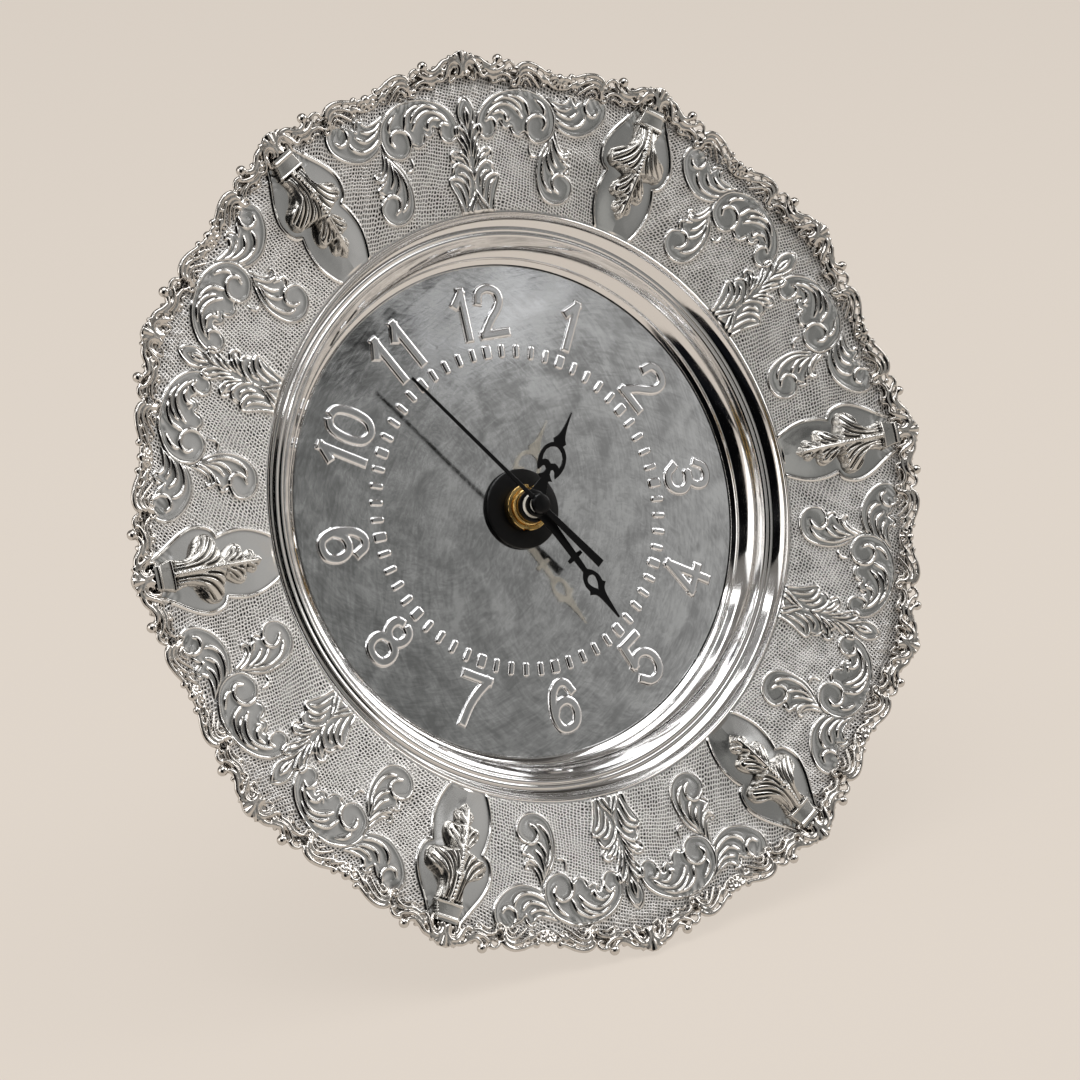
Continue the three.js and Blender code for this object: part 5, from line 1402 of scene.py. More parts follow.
@dataclass
class Rim(Assembly):
    """The cast rim: six sections of two crests, each with scrolls, a shell, balls and sweeping leaves.

    Lines give the distance from a crest's axis, in millimetres as measured at middle_radius, and the radius.
    """

    dish: Dish | None = None
    middle_radius: float = 95.0
    crest_deg: float = 15.0
    sections: int = 6
    inner: float = 90.9
    bed: float = -0.2
    bed_inset: float = 0.4
    # How high the scrolls lie over the ground and beyond it, and where and over what width they rise
    lift: Point = (0.15, 0.55)
    lift_from: Point = (89.0, 3.0)
    # Where in a half turn a scroll starts, and how much of it it rises and falls through
    arch: Point = (0.25, 0.6)
    # How far a curl closes in and how much it thins, as shares, and how far its middle rises
    curl_closing: float = 0.72
    curl_thinning: float = 0.3
    curl_rise: float = 0.3
    first_deg: float = -45.0
    voxel: float = 0.20
    table_gap: float = 0.02
    # Rounds of smoothing and depth that make a hollow, which takes near-black tarnish and painted shade
    hollow: tuple[int, float] = (60, 0.30)
    reach: Line = (
        (0, 96.2), (2.5, 95.2), (5, 93.9), (7, 92.9), (9.2, 94.5), (11.4, 93.7), (13.4, 92.9), (16.5, 93.4), (20, 92.7),
        (22.5, 92.2), (24.9, 91.6))
    # Each scroll: thickness at its start and end, how far its middle rises, and its line
    scrolls: tuple[tuple[float, float, float, Line], ...] = (
        # Shell on the crest
        (0.45, 1.05, 0.6, ((0, 92.8), (0, 95.0), (0, 96.6))),
        (0.35, 0.95, 0.5, ((0.3, 93.4), (0.9, 95), (1.55, 96.1))),
        (0.30, 0.85, 0.4, ((0.6, 94), (1.7, 95.1), (2.9, 95.5))),
        # Scroll that arches from a volute and runs on to the arched leaf
        (0.55, 0.45, 0.7, ((0.9, 91.6), (0.4, 92.7), (0.7, 94), (1.7, 94.7), (2.9, 94.4), (3.7, 93.3), (4.3, 92),
                           (5.2, 91.2), (6.3, 91.5))),
        (0.42, 0.34, 0.5, ((2, 92.1), (1.3, 92.4), (1.2, 93.3), (1.8, 93.8), (2.5, 93.4), (2.3, 92.9))),
        (0.40, 0.34, 0.4, ((2.9, 93.4), (3.2, 92.2), (3.4, 90.8))),
        (0.36, 0.30, 0.3, ((1.5, 91.4), (2.4, 90.9), (3.2, 90.5))),
        # Shoulder and saddle under the ball
        (0.62, 0.55, 0.5, ((2.9, 95.1), (4.4, 94.8), (5.8, 93.8), (7.2, 93.2), (8.4, 93.6), (9.2, 94.6))),
        (0.50, 0.42, 0.6, ((4.9, 93.8), (6.4, 92.6), (8.2, 92.2), (10.2, 92.9), (11.4, 94.1))),
        (0.50, 0.36, 0.5, ((10.4, 93.9), (11.6, 94.3), (12.7, 93.8), (13.3, 92.6))),
        (0.50, 0.40, 0.4, ((6, 91.6), (8, 91.2), (10, 91.7), (11.7, 91.3), (12.7, 90.2))),
        (0.38, 0.30, 0.3, ((7.2, 90.2), (8.6, 90), (10, 90.6), (11.2, 90.2))),
        # Arched leaf
        (0.62, 0.42, 0.6, ((13.8, 92.4), (14.6, 93.5), (16.4, 94), (18.6, 93.6), (20.6, 92.8), (22.6, 92.1))),
        (0.52, 0.36, 0.6, ((13.9, 91.2), (14.8, 92.5), (16.4, 92.9), (18.4, 92.2), (20.2, 91.1), (22.4, 90.5))),
        (0.50, 0.34, 0.5, ((14, 89.5), (14.4, 91), (15.7, 91.9), (17.2, 91.5), (18.6, 90.4), (19.9, 89.3))),
        (0.36, 0.28, 0.4, ((15, 89.5), (15.4, 90.5), (16.2, 90.9), (17.1, 90.3), (17.9, 89.4))),
        (0.46, 0.36, 0.4, ((20.2, 91.8), (21.5, 91.1), (22.8, 90.1), (24.4, 89.7))),
        # Where two crests meet
        (0.46, 0.40, 0.5, ((22.2, 91.6), (23.4, 92.1), (24.6, 91.4))),
        (0.36, 0.50, 0.4, ((24.87, 89.4), (24.87, 90.6), (24.87, 91.8))),
    )
    # Each curl: its centre, its size, where it starts and how far it turns in degrees, its thickness and its rise
    curls: tuple[tuple[float, ...], ...] = (
        (13, 89.9, 1.0, 60, -420, 0.40, 0.3), (8.1, 90.5, 0.8, 120, 400, 0.36, 0.2),
        (5, 92.7, 0.7, 200, -380, 0.34, 0.5), (20.9, 90.2, 0.8, 30, 380, 0.34, 0.2),
        (23.7, 90.7, 0.7, 180, -380, 0.32, 0.3))
    # Each ball: its place, its radius and how high it lies
    balls: tuple[tuple[float, ...], ...] = (
        (9.2, 94.75, 1.1, 0.7), (22, 92.7, 0.75, 0.7), (24.87, 92, 0.95, 0.6), (12.2, 92.6, 0.55, 0.7),
        (6.6, 94, 0.5, 0.6), (18.9, 92.9, 0.45, 1.2), (0, 91.9, 0.6, 0.7), (16.3, 89.6, 0.45, 0.2))

    def laid(self, arc: Array, radius: Array, above: Array | float) -> Array:
        """Lays points of the rim round the face.

        Args:
            arc: Distance from the crest's axis, as measured at middle_radius.
            radius: Distance from the hand axis.
            above: Height above the border's level.

        Returns:
            The points, one row each.
        """
        turn = arc / self.middle_radius
        level = self.dish.level(radius) + above
        return np.stack([radius * np.sin(turn), radius * np.cos(turn), level], axis=-1)

    def bed_ring(self, end: float) -> Form:
        """The sheet under the scrolls of one crest, both halves.

        Args:
            end: How far the half crest reaches from its axis, as measured at middle_radius.

        Returns:
            The closed bed.
        """
        arcs = np.linspace(-end, end, 73)
        table = smooth_line(self.reach, 8)
        rings = []
        for arc in arcs:
            out = float(np.interp(abs(arc), table[:, 0], table[:, 1])) - self.bed_inset
            section = [(self.inner, -0.8), (91.6, -0.8), (91.9, -1.3), (out - 0.3, -1.3), (out, -0.9), (out, -0.3),
                       (out - 0.5, self.bed), (92.2, self.bed), (self.inner + 0.5, self.bed - 0.15), (self.inner, -0.6)]
            radius, above = np.array(section).T
            rings.append(self.laid(np.full(len(section), arc), radius, above))
        return lofted(np.array(rings)[:, ::-1])

    def lifted(self, radius: Array) -> Array:
        """How high the middle of a scroll lies above the border's level: less where it runs in over the ground."""
        begins, width = self.lift_from
        return self.lift[0] + (self.lift[1] - self.lift[0]) * eased((radius - begins) / width)

    def half_crest(self) -> list[Form]:
        """Models the right half of a crest.

        Returns:
            Its scrolls, curls and balls.
        """
        forms = []
        for start, end, rise, line in self.scrolls:
            flat = smooth_line(line, 8)
            shares = np.linspace(0, 1, len(flat))
            above = self.lifted(flat[:, 1]) + rise * np.sin(math.pi * (self.arch[0] + self.arch[1] * shares))
            path = self.laid(flat[:, 0], flat[:, 1], above)
            forms.append(wire(path, start + (end - start) * shares, 10))
        for arc, radius, size, start, turn, thick, rise in self.curls:
            shares = np.linspace(0, 1, 30)
            angle = np.radians(start + turn * shares)
            reach = size * (1 - self.curl_closing * shares)
            round_it = radius + reach * np.sin(angle)
            path = self.laid(arc + reach * np.cos(angle), round_it,
                             self.lifted(round_it) + rise + self.curl_rise * np.sin(math.pi * shares))
            forms.append(wire(path, thick * (1 - self.curl_thinning * shares), 9))
        for arc, radius, size, rise in self.balls:
            centre = self.laid(np.array([arc]), np.array([radius]), rise)[0]
            cap = np.linspace(0.02, math.pi - 0.02, 12)
            profile = [(size * math.sin(t), -size * math.cos(t)) for t in cap]
            forms.append(turned(profile, 14, ring=False).moved(*centre))
        return forms

    def section(self) -> Form:
        """Casts one section of two crests.

        Returns:
            The section, with one crest left of twelve o'clock and one right of it.
        """
        end = math.radians(self.crest_deg) * self.middle_radius
        half = self.half_crest()
        crest = [self.bed_ring(end - 0.02), *half, *(form.mirrored() for form in half)]
        both = [form.spun(turn) for turn in (-self.crest_deg, self.crest_deg) for form in crest]
        return fused(both, self.voxel, 2)

    def build(self) -> None:
        """Casts the six sections and stands the lowest one on the table."""
        form = self.section()
        above = form.points[:, 2] - self.dish.level(np.hypot(form.points[:, 0], form.points[:, 1]))
        # Near-black tarnish and painted shade in the rim's hollows
        hollow = hollows(form, above, *self.hollow)
        for number in range(1, self.sections + 1):
            standing = self.stood(form.spun(number * 360 / self.sections + self.first_deg), self.table_gap)
            self.place(f"rim_cast_{number}", standing, CAST_SILVER, Body.CLOCK, Slot.RIM,
                       [f"rim_section_{number}"], ALL_SMOOTH_DEG, shares={"hollow": hollow})


@dataclass
class LeafMounts(Assembly):
    """Six cast acanthus leaves, each on its shield, with its foot under a strap at the rim and its tip to the dial.

    Outlines and veins are of the right half: distance from the leaf's axis and radius.
    """

    dish: Dish | None = None
    count: int = 6
    first_deg: float = -30.0
    cell: float = 0.13
    half_width: float = 7.8
    reach: Point = (65.9, 91.6)
    under: float = -0.4
    # Rounds of smoothing and depth that make a fold, which takes brown tarnish and painted shade
    hollow: tuple[int, float] = (26, 0.30)
    # Height of the midrib along the leaf: radius and height above the border
    spine: Line = (
        (66.0, 1.3), (68.0, 2.2), (70.5, 2.9), (74.0, 3.5), (78.0, 4.0), (82.0, 4.0), (85.0, 3.2), (87.4, 2.0))
    # Each lobe, from the foot to the tip: how fast it falls away from the axis, its outline and its veins
    lobes: tuple[tuple[float, Line, tuple[Line, ...]], ...] = (
        (0.052, ((0, 87.5), (2.9, 87.3), (2.7, 85.6), (2.6, 84), (3.1, 82.6), (4.4, 81.7), (5.9, 81), (6.8, 79.9),
                 (7.0, 78.6), (6.6, 77.5), (5.5, 76.8), (4.3, 76.7), (3.0, 76.3), (1.6, 75.8), (0, 75.2)),
         (((2.2, 87.4), (2.2, 85), (2.7, 82.8), (4.1, 81), (6.7, 79.2)),
          ((1.55, 87.4), (1.55, 84.6), (2.1, 81.9), (3.4, 79.6), (6.2, 77.4)),
          ((0.95, 87.4), (0.95, 84), (1.3, 81), (2.3, 78.7), (4.4, 76.8)),
          ((0.7, 81), (0.9, 79.2), (1.4, 77.6), (2.5, 76.2)))),
        (0.11, ((0, 78), (1.2, 77), (2.2, 75.8), (3.3, 74.4), (4.0, 73), (4.0, 71.8), (3.3, 71), (2.3, 70.9),
                (1.2, 70.6), (0, 70.2)),
         (((0.6, 76.9), (1.5, 75), (3.1, 73.1)), ((0.6, 75.2), (1.3, 73.2), (2.6, 71.9)),
          ((0.55, 73.6), (0.9, 72.2), (1.5, 71.2)))),
        (0.24, ((0, 72.5), (1, 71.3), (1.9, 70.3), (2.4, 69.2), (2.1, 68.2), (1.3, 67.8), (0.9, 67.1), (0, 66.3)),
         (((0.5, 71.6), (1.1, 69.8), (1.7, 68.8)), ((0.4, 69.4), (0.7, 68.3), (0.9, 67.7)))),
    )
    # A lobe's least height; its share of the height at its edge, and how far in it is full
    lobe_least: float = 1.2
    lobe_edge: Point = (0.45, 0.9)
    # Depth and width of a vein; its share of the depth at its ends, and how far from them it is full
    vein: Point = (0.8, 0.24)
    vein_end: Point = (0.5, 0.8)
    # Height and width of a curled edge, how far in from the outline it lies, and where beside the axis it sets in
    curl: Point = (0.5, 0.3)
    curl_inset: float = 0.38
    curl_from: Point = (1.5, 2.0)
    # Height and width of the midrib, the half width and depth of its foot, and between which radii it runs
    rib: Point = (0.55, 0.38)
    rib_foot: Point = (0.6, 0.2)
    ribbed: Point = (67.2, 87.4)
    # Height, width and pitch of the midrib's beads, and between which radii they lie
    bead: Triple = (0.24, 0.3, 0.85)
    beaded: Point = (75.6, 86.8)
    # The strap: radius and half width, height, fall to the sides, and its raised lines' height, width and radii
    strap: Line = ((87.3, 3.3), (88.6, 2.9), (90.0, 2.6), (91.6, 2.5))
    strap_height: float = 1.7
    strap_fall: float = 0.03
    strap_line: Point = (0.32, 0.22)
    strap_lines: tuple[float, ...] = (87.5, 90.6)

    def height(self, across: Array, radius: Array) -> Array:
        """Works out the casting's height above the border.

        Args:
            across: Distance from the leaf's axis.
            radius: Distance from the hand axis.

        Returns:
            The height, or the hidden level under the shield beside the leaf.
        """
        aside = np.abs(across)
        at = np.column_stack([aside, radius])
        spine = np.interp(radius, *zip(*self.spine))
        total = np.full(len(at), self.under)
        for fall, outline, veins in self.lobes:
            edge = smooth_line(outline, 6)
            inside = within(at, np.vstack([edge, (-2, edge[-1, 1]), (-2, edge[0, 1])]))
            away = line_distance(at, edge)[0]
            top = np.maximum(spine - fall * aside**2, self.lobe_least) * grown(away, *self.lobe_edge)
            curled = eased((aside - self.curl_from[0]) / self.curl_from[1])
            top += self.curl[0] * curled * ridge(away - self.curl_inset, self.curl[1])
            for line in veins:
                from_line, from_end = line_distance(at, smooth_line(line, 6))
                top -= self.vein[0] * grown(from_end, *self.vein_end) * ridge(from_line, self.vein[1])
            total = np.where(inside, np.maximum(total, top), total)
        rib = self.rib[0] * ridge(aside, self.rib[1])
        high, wide, pitch = self.bead
        rib += between(radius, self.beaded) * high * ridge(aside, wide) * np.cos(FULL_TURN * radius / pitch)
        foot, sunk = self.rib_foot
        ribbed = np.maximum(total, spine * (aside < foot) - sunk + rib)
        total = np.where(between(radius, self.ribbed), ribbed, total)
        strapped = (aside < np.interp(radius, *zip(*self.strap))) & (radius > self.strap[0][0])
        high, wide = self.strap_line
        plain = self.strap_height - self.strap_fall * aside**2 + sum(
            high * ridge(radius - line, wide) for line in self.strap_lines)
        return np.where(strapped, plain, total)

    def leaf(self) -> tuple[Form, Array]:
        """The whole leaf at twelve o'clock.

        Returns:
            The leaf, and the share of hollow at each of its points.
        """
        across = np.arange(-self.half_width, self.half_width, self.cell)
        radius = np.arange(*self.reach, self.cell)
        xs, radii = np.meshgrid(across, radius)
        above = softened(self.height(xs.ravel(), radii.ravel()).reshape(xs.shape)).ravel()
        faces = np.array(grid_faces(*xs.shape))
        faces = faces[above[faces].max(axis=1) > self.under + 0.01]
        used, numbered = np.unique(faces, return_inverse=True)
        points = np.column_stack([xs.ravel(), radii.ravel(), self.dish.level(radii.ravel()) + above])[used]
        form = Form(points, [tuple(face) for face in numbered.reshape(-1, 4).tolist()])
        # Brown tarnish and painted shade in the leaf's folds
        return form, hollows(form, above[used], *self.hollow)

    def build(self) -> None:
        """Casts the six leaves."""
        form, hollow = self.leaf()
        for number in range(1, self.count + 1):
            self.place(f"leaf_cast_{number}", form.spun(number * 360 / self.count + self.first_deg), LEAF_SILVER,
                       Body.CLOCK, Slot.LEAF, [f"leaf_mount_{number}"], ALL_SMOOTH_DEG, shares={"hollow": hollow})


# Middle lines of the digits' strokes, in shares of half the width and half the height; two points are a straight line
DIGITS: dict[str, tuple[Line, ...]] = {
    "0": (((0, 1), (0.72, 0.78), (1, 0.3), (1, -0.3), (0.72, -0.78), (0, -1), (-0.72, -0.78), (-1, -0.3), (-1, 0.3),
           (-0.72, 0.78), (0, 1)),),
    "1": (((0.35, 1), (0.35, -1)), ((0.35, 0.95), (-0.75, 0.5))),
    "2": (((-0.95, 0.5), (-0.72, 0.86), (0, 1), (0.75, 0.83), (0.95, 0.48), (0.65, 0.1), (-0.2, -0.4), (-0.95, -0.95)),
          ((-1, -1), (1, -1))),
    "3": (((-0.95, 0.58), (-0.6, 0.9), (0.05, 1), (0.72, 0.82), (0.82, 0.45), (0.45, 0.14), (-0.2, 0.06)),
          ((-0.2, 0.06), (0.6, -0.06), (1, -0.36), (0.85, -0.78), (0.25, -1), (-0.5, -0.94), (-1, -0.6))),
    "4": (((0.4, 1), (-1, -0.42)), ((-1, -0.42), (1, -0.42)), ((0.4, 1), (0.4, -1))),
    "5": (((0.85, 1), (-0.65, 1)), ((-0.65, 1), (-0.85, 0.08)),
          ((-0.85, 0.08), (-0.2, 0.3), (0.55, 0.2), (1, -0.2), (0.85, -0.72), (0.25, -1), (-0.5, -0.95), (-1, -0.62))),
    "6": (((0.88, 0.6), (0.5, 0.93), (-0.15, 0.98), (-0.75, 0.62), (-1, 0), (-0.95, -0.5), (-0.6, -0.9), (0, -1),
           (0.7, -0.84), (1, -0.38), (0.75, 0.06), (0.1, 0.22), (-0.6, 0.05), (-0.93, -0.3)),),
    "7": (((-1, 1), (1, 1)), ((0.95, 0.98), (0.35, 0.35), (-0.05, -0.3), (-0.25, -1))),
    "8": (((0, 1), (0.62, 0.86), (0.82, 0.54), (0.6, 0.2), (0, 0.06), (-0.6, 0.2), (-0.82, 0.54), (-0.62, 0.86),
           (0, 1)),
          ((0, 0.06), (0.75, -0.12), (1, -0.48), (0.75, -0.86), (0, -1), (-0.75, -0.86), (-1, -0.48), (-0.75, -0.12),
           (0, 0.06))),
}
DIGITS["9"] = tuple(tuple((-x, -y) for x, y in stroke) for stroke in DIGITS["6"])


@dataclass
class Dial(Assembly):
    """The dial plate with its embossed numbers and minute marks."""

    radius: float = 53.2
    hole: float = 4.25
    thickness: float = 0.8
    number_radius: float = 43.2
    number_height: float = 12.4
    digit_width: float = 7.9
    one_width: float = 5.6
    digit_gap: float = 0.3
    stroke: float = 1.18
    # Height of the numbers, width of their flanks, and how deep their tops and feet are sunk
    emboss: float = 0.62
    flank: float = 0.72
    sunk: float = 0.02
    foot: float = 0.3
    upside_down: Sequence[int] = (4, 5, 6, 7, 8)
    number_voxel: float = 0.15
    mark_radius: float = 34.5
    mark_size: Point = (1.55, 3.3)
    hour_mark_width: float = 2.3
    mark_corner: float = 0.68
    mark_sheet: Point = (0.96, 0.46)
    rim_edge: float = 0.12

    def raised(self, line: Array) -> Form:
        """One stroke of a number: a strip with a flat top and round flanks, also at its ends.

        Args:
            line: Its middle line on the dial.

        Returns:
            The closed strip, its foot sunk in the plate.
        """
        run = np.gradient(line, axis=0)
        run /= np.hypot(*run.T)[:, None]
        aside = np.column_stack([-run[:, 1], run[:, 0]])
        passed = np.concatenate([[0], np.cumsum(np.hypot(*np.diff(line, axis=0).T))])
        from_end = np.minimum(passed, passed[-1] - passed)
        across = np.linspace(-self.stroke, self.stroke, 15)

        def rise(inside: Array | float) -> Array | float:
            """Height of the flank at a distance from its foot."""
            share = np.clip(inside / self.flank, 0, 1)
            return self.emboss * np.sqrt(1 - (1 - share)**2)

        rings = []
        for centre, direction, end in zip(line, aside, from_end):
            top = np.minimum(rise(self.stroke - np.abs(across)), rise(end)) - self.sunk
            flat = centre + across[:, None] * direction
            level = np.concatenate([top, np.full(len(across), -self.foot)])
            rings.append(np.column_stack([np.vstack([flat, flat[::-1]]), level]))
        return lofted(np.array(rings))

    def number(self, value: int) -> list[Form]:
        """One embossed number, upright in the middle of the dial.

        Args:
            value: From 1 to 12.

        Returns:
            The strokes of its digits.
        """
        widths = [self.one_width if digit == "1" else self.digit_width for digit in str(value)]
        left = -(sum(widths) + self.digit_gap * (len(widths) - 1)) / 2
        forms = []
        for digit, width in zip(str(value), widths):
            half = np.array([width / 2 - self.stroke, self.number_height / 2 - self.stroke])
            middle = np.array([left + width / 2, 0.0])
            for stroke in DIGITS[digit]:
                ends = np.array(stroke) * half + middle
                if len(ends) == 2:
                    line = ends[0] + np.linspace(0, 1, 40)[:, None] * (ends[1] - ends[0])
                else:
                    line = smooth_line(ends, 8)
                if not np.allclose(line[0], line[-1]):
                    reach = [(line[0] - line[1]) / np.hypot(*(line[0] - line[1])),
                             (line[-1] - line[-2]) / np.hypot(*(line[-1] - line[-2]))]
                    steps = np.linspace(0, self.stroke, 7)[1:, None]
                    line = np.vstack([(line[0] + steps * reach[0])[::-1], line, line[-1] + steps * reach[1]])
                forms.append(self.raised(line))
            left += width + self.digit_gap
        return forms

    def numbers(self) -> Form:
        """Embosses all twelve numbers. Those in the lower half stand with their feet outwards.

        Returns:
            The numbers, fused.
        """
        forms = []
        for value in range(1, 13):
            upside = 180.0 if value in self.upside_down else 0.0
            forms += [form.spun(upside).moved(0, self.number_radius, 0).spun(30.0 * value)
                      for form in self.number(value)]
        return fused(forms, self.number_voxel, 1)

    def mark(self, width: float) -> Form:
        """One minute mark at twelve: a raised bar with round corners.

        Args:
            width: Its width.

        Returns:
            The mark, half sunk in the plate.
        """
        half_x, half_y, corner = width / 2, self.mark_size[1] / 2, self.mark_corner
        outline = []
        for quarter, (sx, sy) in enumerate(((1, 1), (-1, 1), (-1, -1), (1, -1))):
            for t in np.linspace(0, math.pi / 2, 6):
                turn = t + quarter * math.pi / 2
                outline.append((sx * (half_x - corner) + corner * math.cos(turn),
                                sy * (half_y - corner) + corner * math.sin(turn)))
        return pressed([np.array(outline)], *self.mark_sheet).moved(0, self.mark_radius, 0)

    def build(self) -> None:
        """Makes the plate, the numbers and the marks."""
        section = [(self.hole, 0), (self.radius - self.rim_edge, 0), (self.radius, -self.rim_edge),
                   (self.radius, -self.thickness), (self.hole, -self.thickness)]
        self.place("dial_plate", turned(section, 256), DIAL_METAL, Body.CLOCK, Slot.DIAL, ["dial"], 30, on_face=True)
        self.place("dial_numbers", self.numbers(), EMBOSSED_METAL, Body.CLOCK, Slot.DIAL, sharp=60)
        plain, hour = self.mark(self.mark_size[0]), self.mark(self.hour_mark_width)
        marks = [(plain if minute % 5 else hour).spun(6.0 * minute) for minute in range(60)]
        self.place("minute_marks", joined(marks), EMBOSSED_METAL, Body.CLOCK, Slot.DIAL, sharp=60)


@dataclass
class CentreStack(Assembly):
    """Rubber washer, slotted nut and threaded bushing that clamp the movement to the dial."""

    washer: Triple = (8.7, 0.3, 1.3)
    nut: Triple = (5.0, 1.6, 3.6)
    nut_bore: float = 4.05
    nut_edge: float = 0.15
    nut_turn: float = 20.0
    # Width and depth of the nut's two slots
    slot: Point = (1.0, 0.8)
    bushing: Triple = (3.95, 2.95, 4.4)
    flange: Triple = (6.0, -6.2, -5.4)
    # The bushing's thread: its lower end, the step from a crest to a root, its depth, and how many steps
    thread: tuple[float, float, float, int] = (0.5, 0.25, 0.12, 15)
    gap: float = 4.25

    def build(self) -> None:
        """Makes the washer, the nut and the bushing's threaded end."""
        radius, low, high = self.washer
        section = [(self.gap, low), (radius - 0.3, low), (radius, low + 0.3), (radius, high - 0.4),
                   (radius - 0.12, high - 0.12), (radius - 0.4, high), (self.gap, high)]
        self.place("washer_rubber", turned(section, 96), RUBBER, Body.CLOCK, Slot.RUBBER, ["rubber_washer"], 30)
        radius, low, high = self.nut
        turns = np.linspace(0, FULL_TURN, 144, endpoint=False)
        rays = np.column_stack([np.cos(turns), np.sin(turns)])
        slotted = np.abs(rays[:, :1]) * radius < self.slot[0] / 2
        outline = (radius - np.where(slotted, self.slot[1], 0.0)) * rays
        nut = pressed([outline, self.nut_bore * rays], high - low, self.nut_edge).moved(0, 0, (low + high) / 2)
        self.place("nut_slotted", nut.spun(self.nut_turn), BRASS, Body.CLOCK, Slot.BRASS, ["slotted_nut"], 30,
                   on_face=True)
        outer, inner, top = self.bushing
        flange, back, seat = self.flange
        start, step, depth, count = self.thread
        thread = [(outer - depth * (i % 2), start + step * i) for i in range(count)]
        section = [(inner, back), (flange, back), (flange, seat), (outer, seat), *thread, (outer - 0.25, top),
                   (inner + 0.15, top), (inner, top - 0.15)]
        self.place("bushing_threaded", turned(section, 72), BRASS, Body.CLOCK, Slot.BRASS, ["threaded_bushing"], 30,
                   on_face=True)


@dataclass
class Hands(Assembly):
    """The three hands, pressed from sheet, with their hubs."""

    sheet: float = 0.4
    edge: float = 0.1
    # Level of each hand above the dial, and the degrees past twelve that it points to
    hour: Point = (5.4, 38.0)
    minute: Point = (6.9, 152.6)
    second: Point = (8.4, 322.6)
    length: float = 39.0
    tail: float = 19.0
    # Radius of each collar, and the bore and radius of the hub under it
    hour_hub: tuple[float, Point] = (3.4, (2.82, 3.32))
    minute_hub: tuple[float, Point] = (2.6, (1.82, 2.32))
    cap: Point = (2.1, 1.3)
    drop: float = 0.7

    @staticmethod
    def mirrored(runs: Sequence[Sequence[Point]]) -> Array:
        """Closes an outline from the smooth runs of its right half, joined at sharp corners."""
        right = np.vstack([smooth_line(run, 6) if len(run) > 2 else np.array(run, float) for run in runs])
        return np.vstack([right, (right * np.array([-1, 1]))[::-1]])

    def hub(self, bore: float, outer: float) -> Form:
        """The collet under a hand."""
        top, low = self.sheet + 0.12, -self.drop
        return turned([(bore, low), (outer, low), (outer + 0.25, 0.0), (outer + 0.25, top - 0.1), (outer + 0.1, top),
                       (bore, top)], 48)

    def hour_outlines(self) -> list[Array]:
        """Draws the hour hand: a thorned collar, an anchor whose hooks rise into a ring, and a barbed spike.

        Returns:
            Its outline and that of its eye.
        """
        outer = self.mirrored([
            [(2.6, 0.6), (1.9, 3.2), (1.35, 5.2), (1.1, 6.4), (1.9, 6.9)],
            [(1.9, 6.9), (1.3, 7.4), (0.8, 8.0), (0.6, 8.9)],
            [(0.6, 8.9), (1.1, 9.3), (1.6, 9.0), (1.9, 8.3), (2.3, 7.7)],
            [(2.3, 7.7), (3.0, 9.2), (3.3, 11.2), (2.9, 13.2), (2.0, 14.5), (1.2, 15.1)], [(1.2, 15.1), (1.65, 15.9)],
            [(1.65, 15.9), (0.95, 17.0), (0.55, 18.6), (0.3, 20.6), (0.14, 23.0)]])
        eye = np.array([(0, 10.4), (0.9, 10.9), (1.7, 10.7), (2.2, 10.3), (2.4, 11.4), (2.2, 12.7), (1.5, 13.7),
                        (0.7, 14.2), (0, 14.4)])
        return [outer, np.vstack([eye, (eye[1:-1] * np.array([-1, 1]))[::-1]])]

    def minute_outlines(self) -> list[Array]:
        """Draws the minute hand: a tapering stem with a cross-bar, a pierced teardrop with barbs and a long point.

        Returns:
            Its outline and that of its eye.
        """
        outer = self.mirrored([
            [(2.0, 0.8), (1.3, 3.4), (0.95, 8.0), (0.8, 13.5)], [(2.0, 13.7), (2.0, 14.5)],
            [(0.75, 14.6), (0.62, 17.8)], [(0.62, 17.8), (1.5, 18.8), (2.1, 20.4), (2.0, 22.0)],
            [(2.5, 22.6), (1.4, 23.4), (0.9, 24.6), (0.55, 27.0), (0.2, 30.5)]])
        turns = np.linspace(math.pi, FULL_TURN, 14)
        drop = [(1.15 * math.cos(t), 20.4 + 1.15 * math.sin(t)) for t in turns]
        point = smooth_line([(1.15, 20.4), (0.8, 21.6), (0, 22.8)], 6)[1:]
        back = (point[:-1] * np.array([-1, 1]))[::-1]
        return [outer, np.vstack([drop, point, back])]

    def second_hand(self) -> Form:
        """Makes the second hand: a needle with a wide tail, under a domed cap.

        Returns:
            The hand, pointing at twelve.
        """
        outline = np.array([(0.95, -self.tail), (0.6, -1.0), (0.46, 4.0), (0.30, self.length), (-0.30, self.length),
                            (-0.46, 4.0), (-0.6, -1.0), (-0.95, -self.tail)])
        radius, height = self.cap
        dome = [(0.02, 0.0), (radius, 0.0), (radius, height - 0.5), (radius - 0.15, height - 0.15),
                (radius - 0.5, height), (0.02, height + 0.05)]
        return joined([pressed([outline], self.sheet, self.edge).moved(0, 0, self.sheet / 2),
                       turned(dome, 48, ring=False)])

    def pierced(self, outlines: Sequence[Array], collar: float, hub: Point) -> Form:
        """Makes a pierced hand with its collar and hub.

        Args:
            outlines: The hand's outline and that of its eye.
            collar: Radius of the disc round its bore.
            hub: Bore and radius of its hub.

        Returns:
            The hand, pointing at twelve.
        """
        circle = np.array([(math.cos(t), math.sin(t)) for t in np.linspace(0, FULL_TURN, 40, endpoint=False)])
        sheets = [pressed(drawn, self.sheet, self.edge).moved(0, 0, self.sheet / 2)
                  for drawn in (outlines, [circle * collar, circle * hub[0]])]
        return joined([*sheets, self.hub(*hub)])

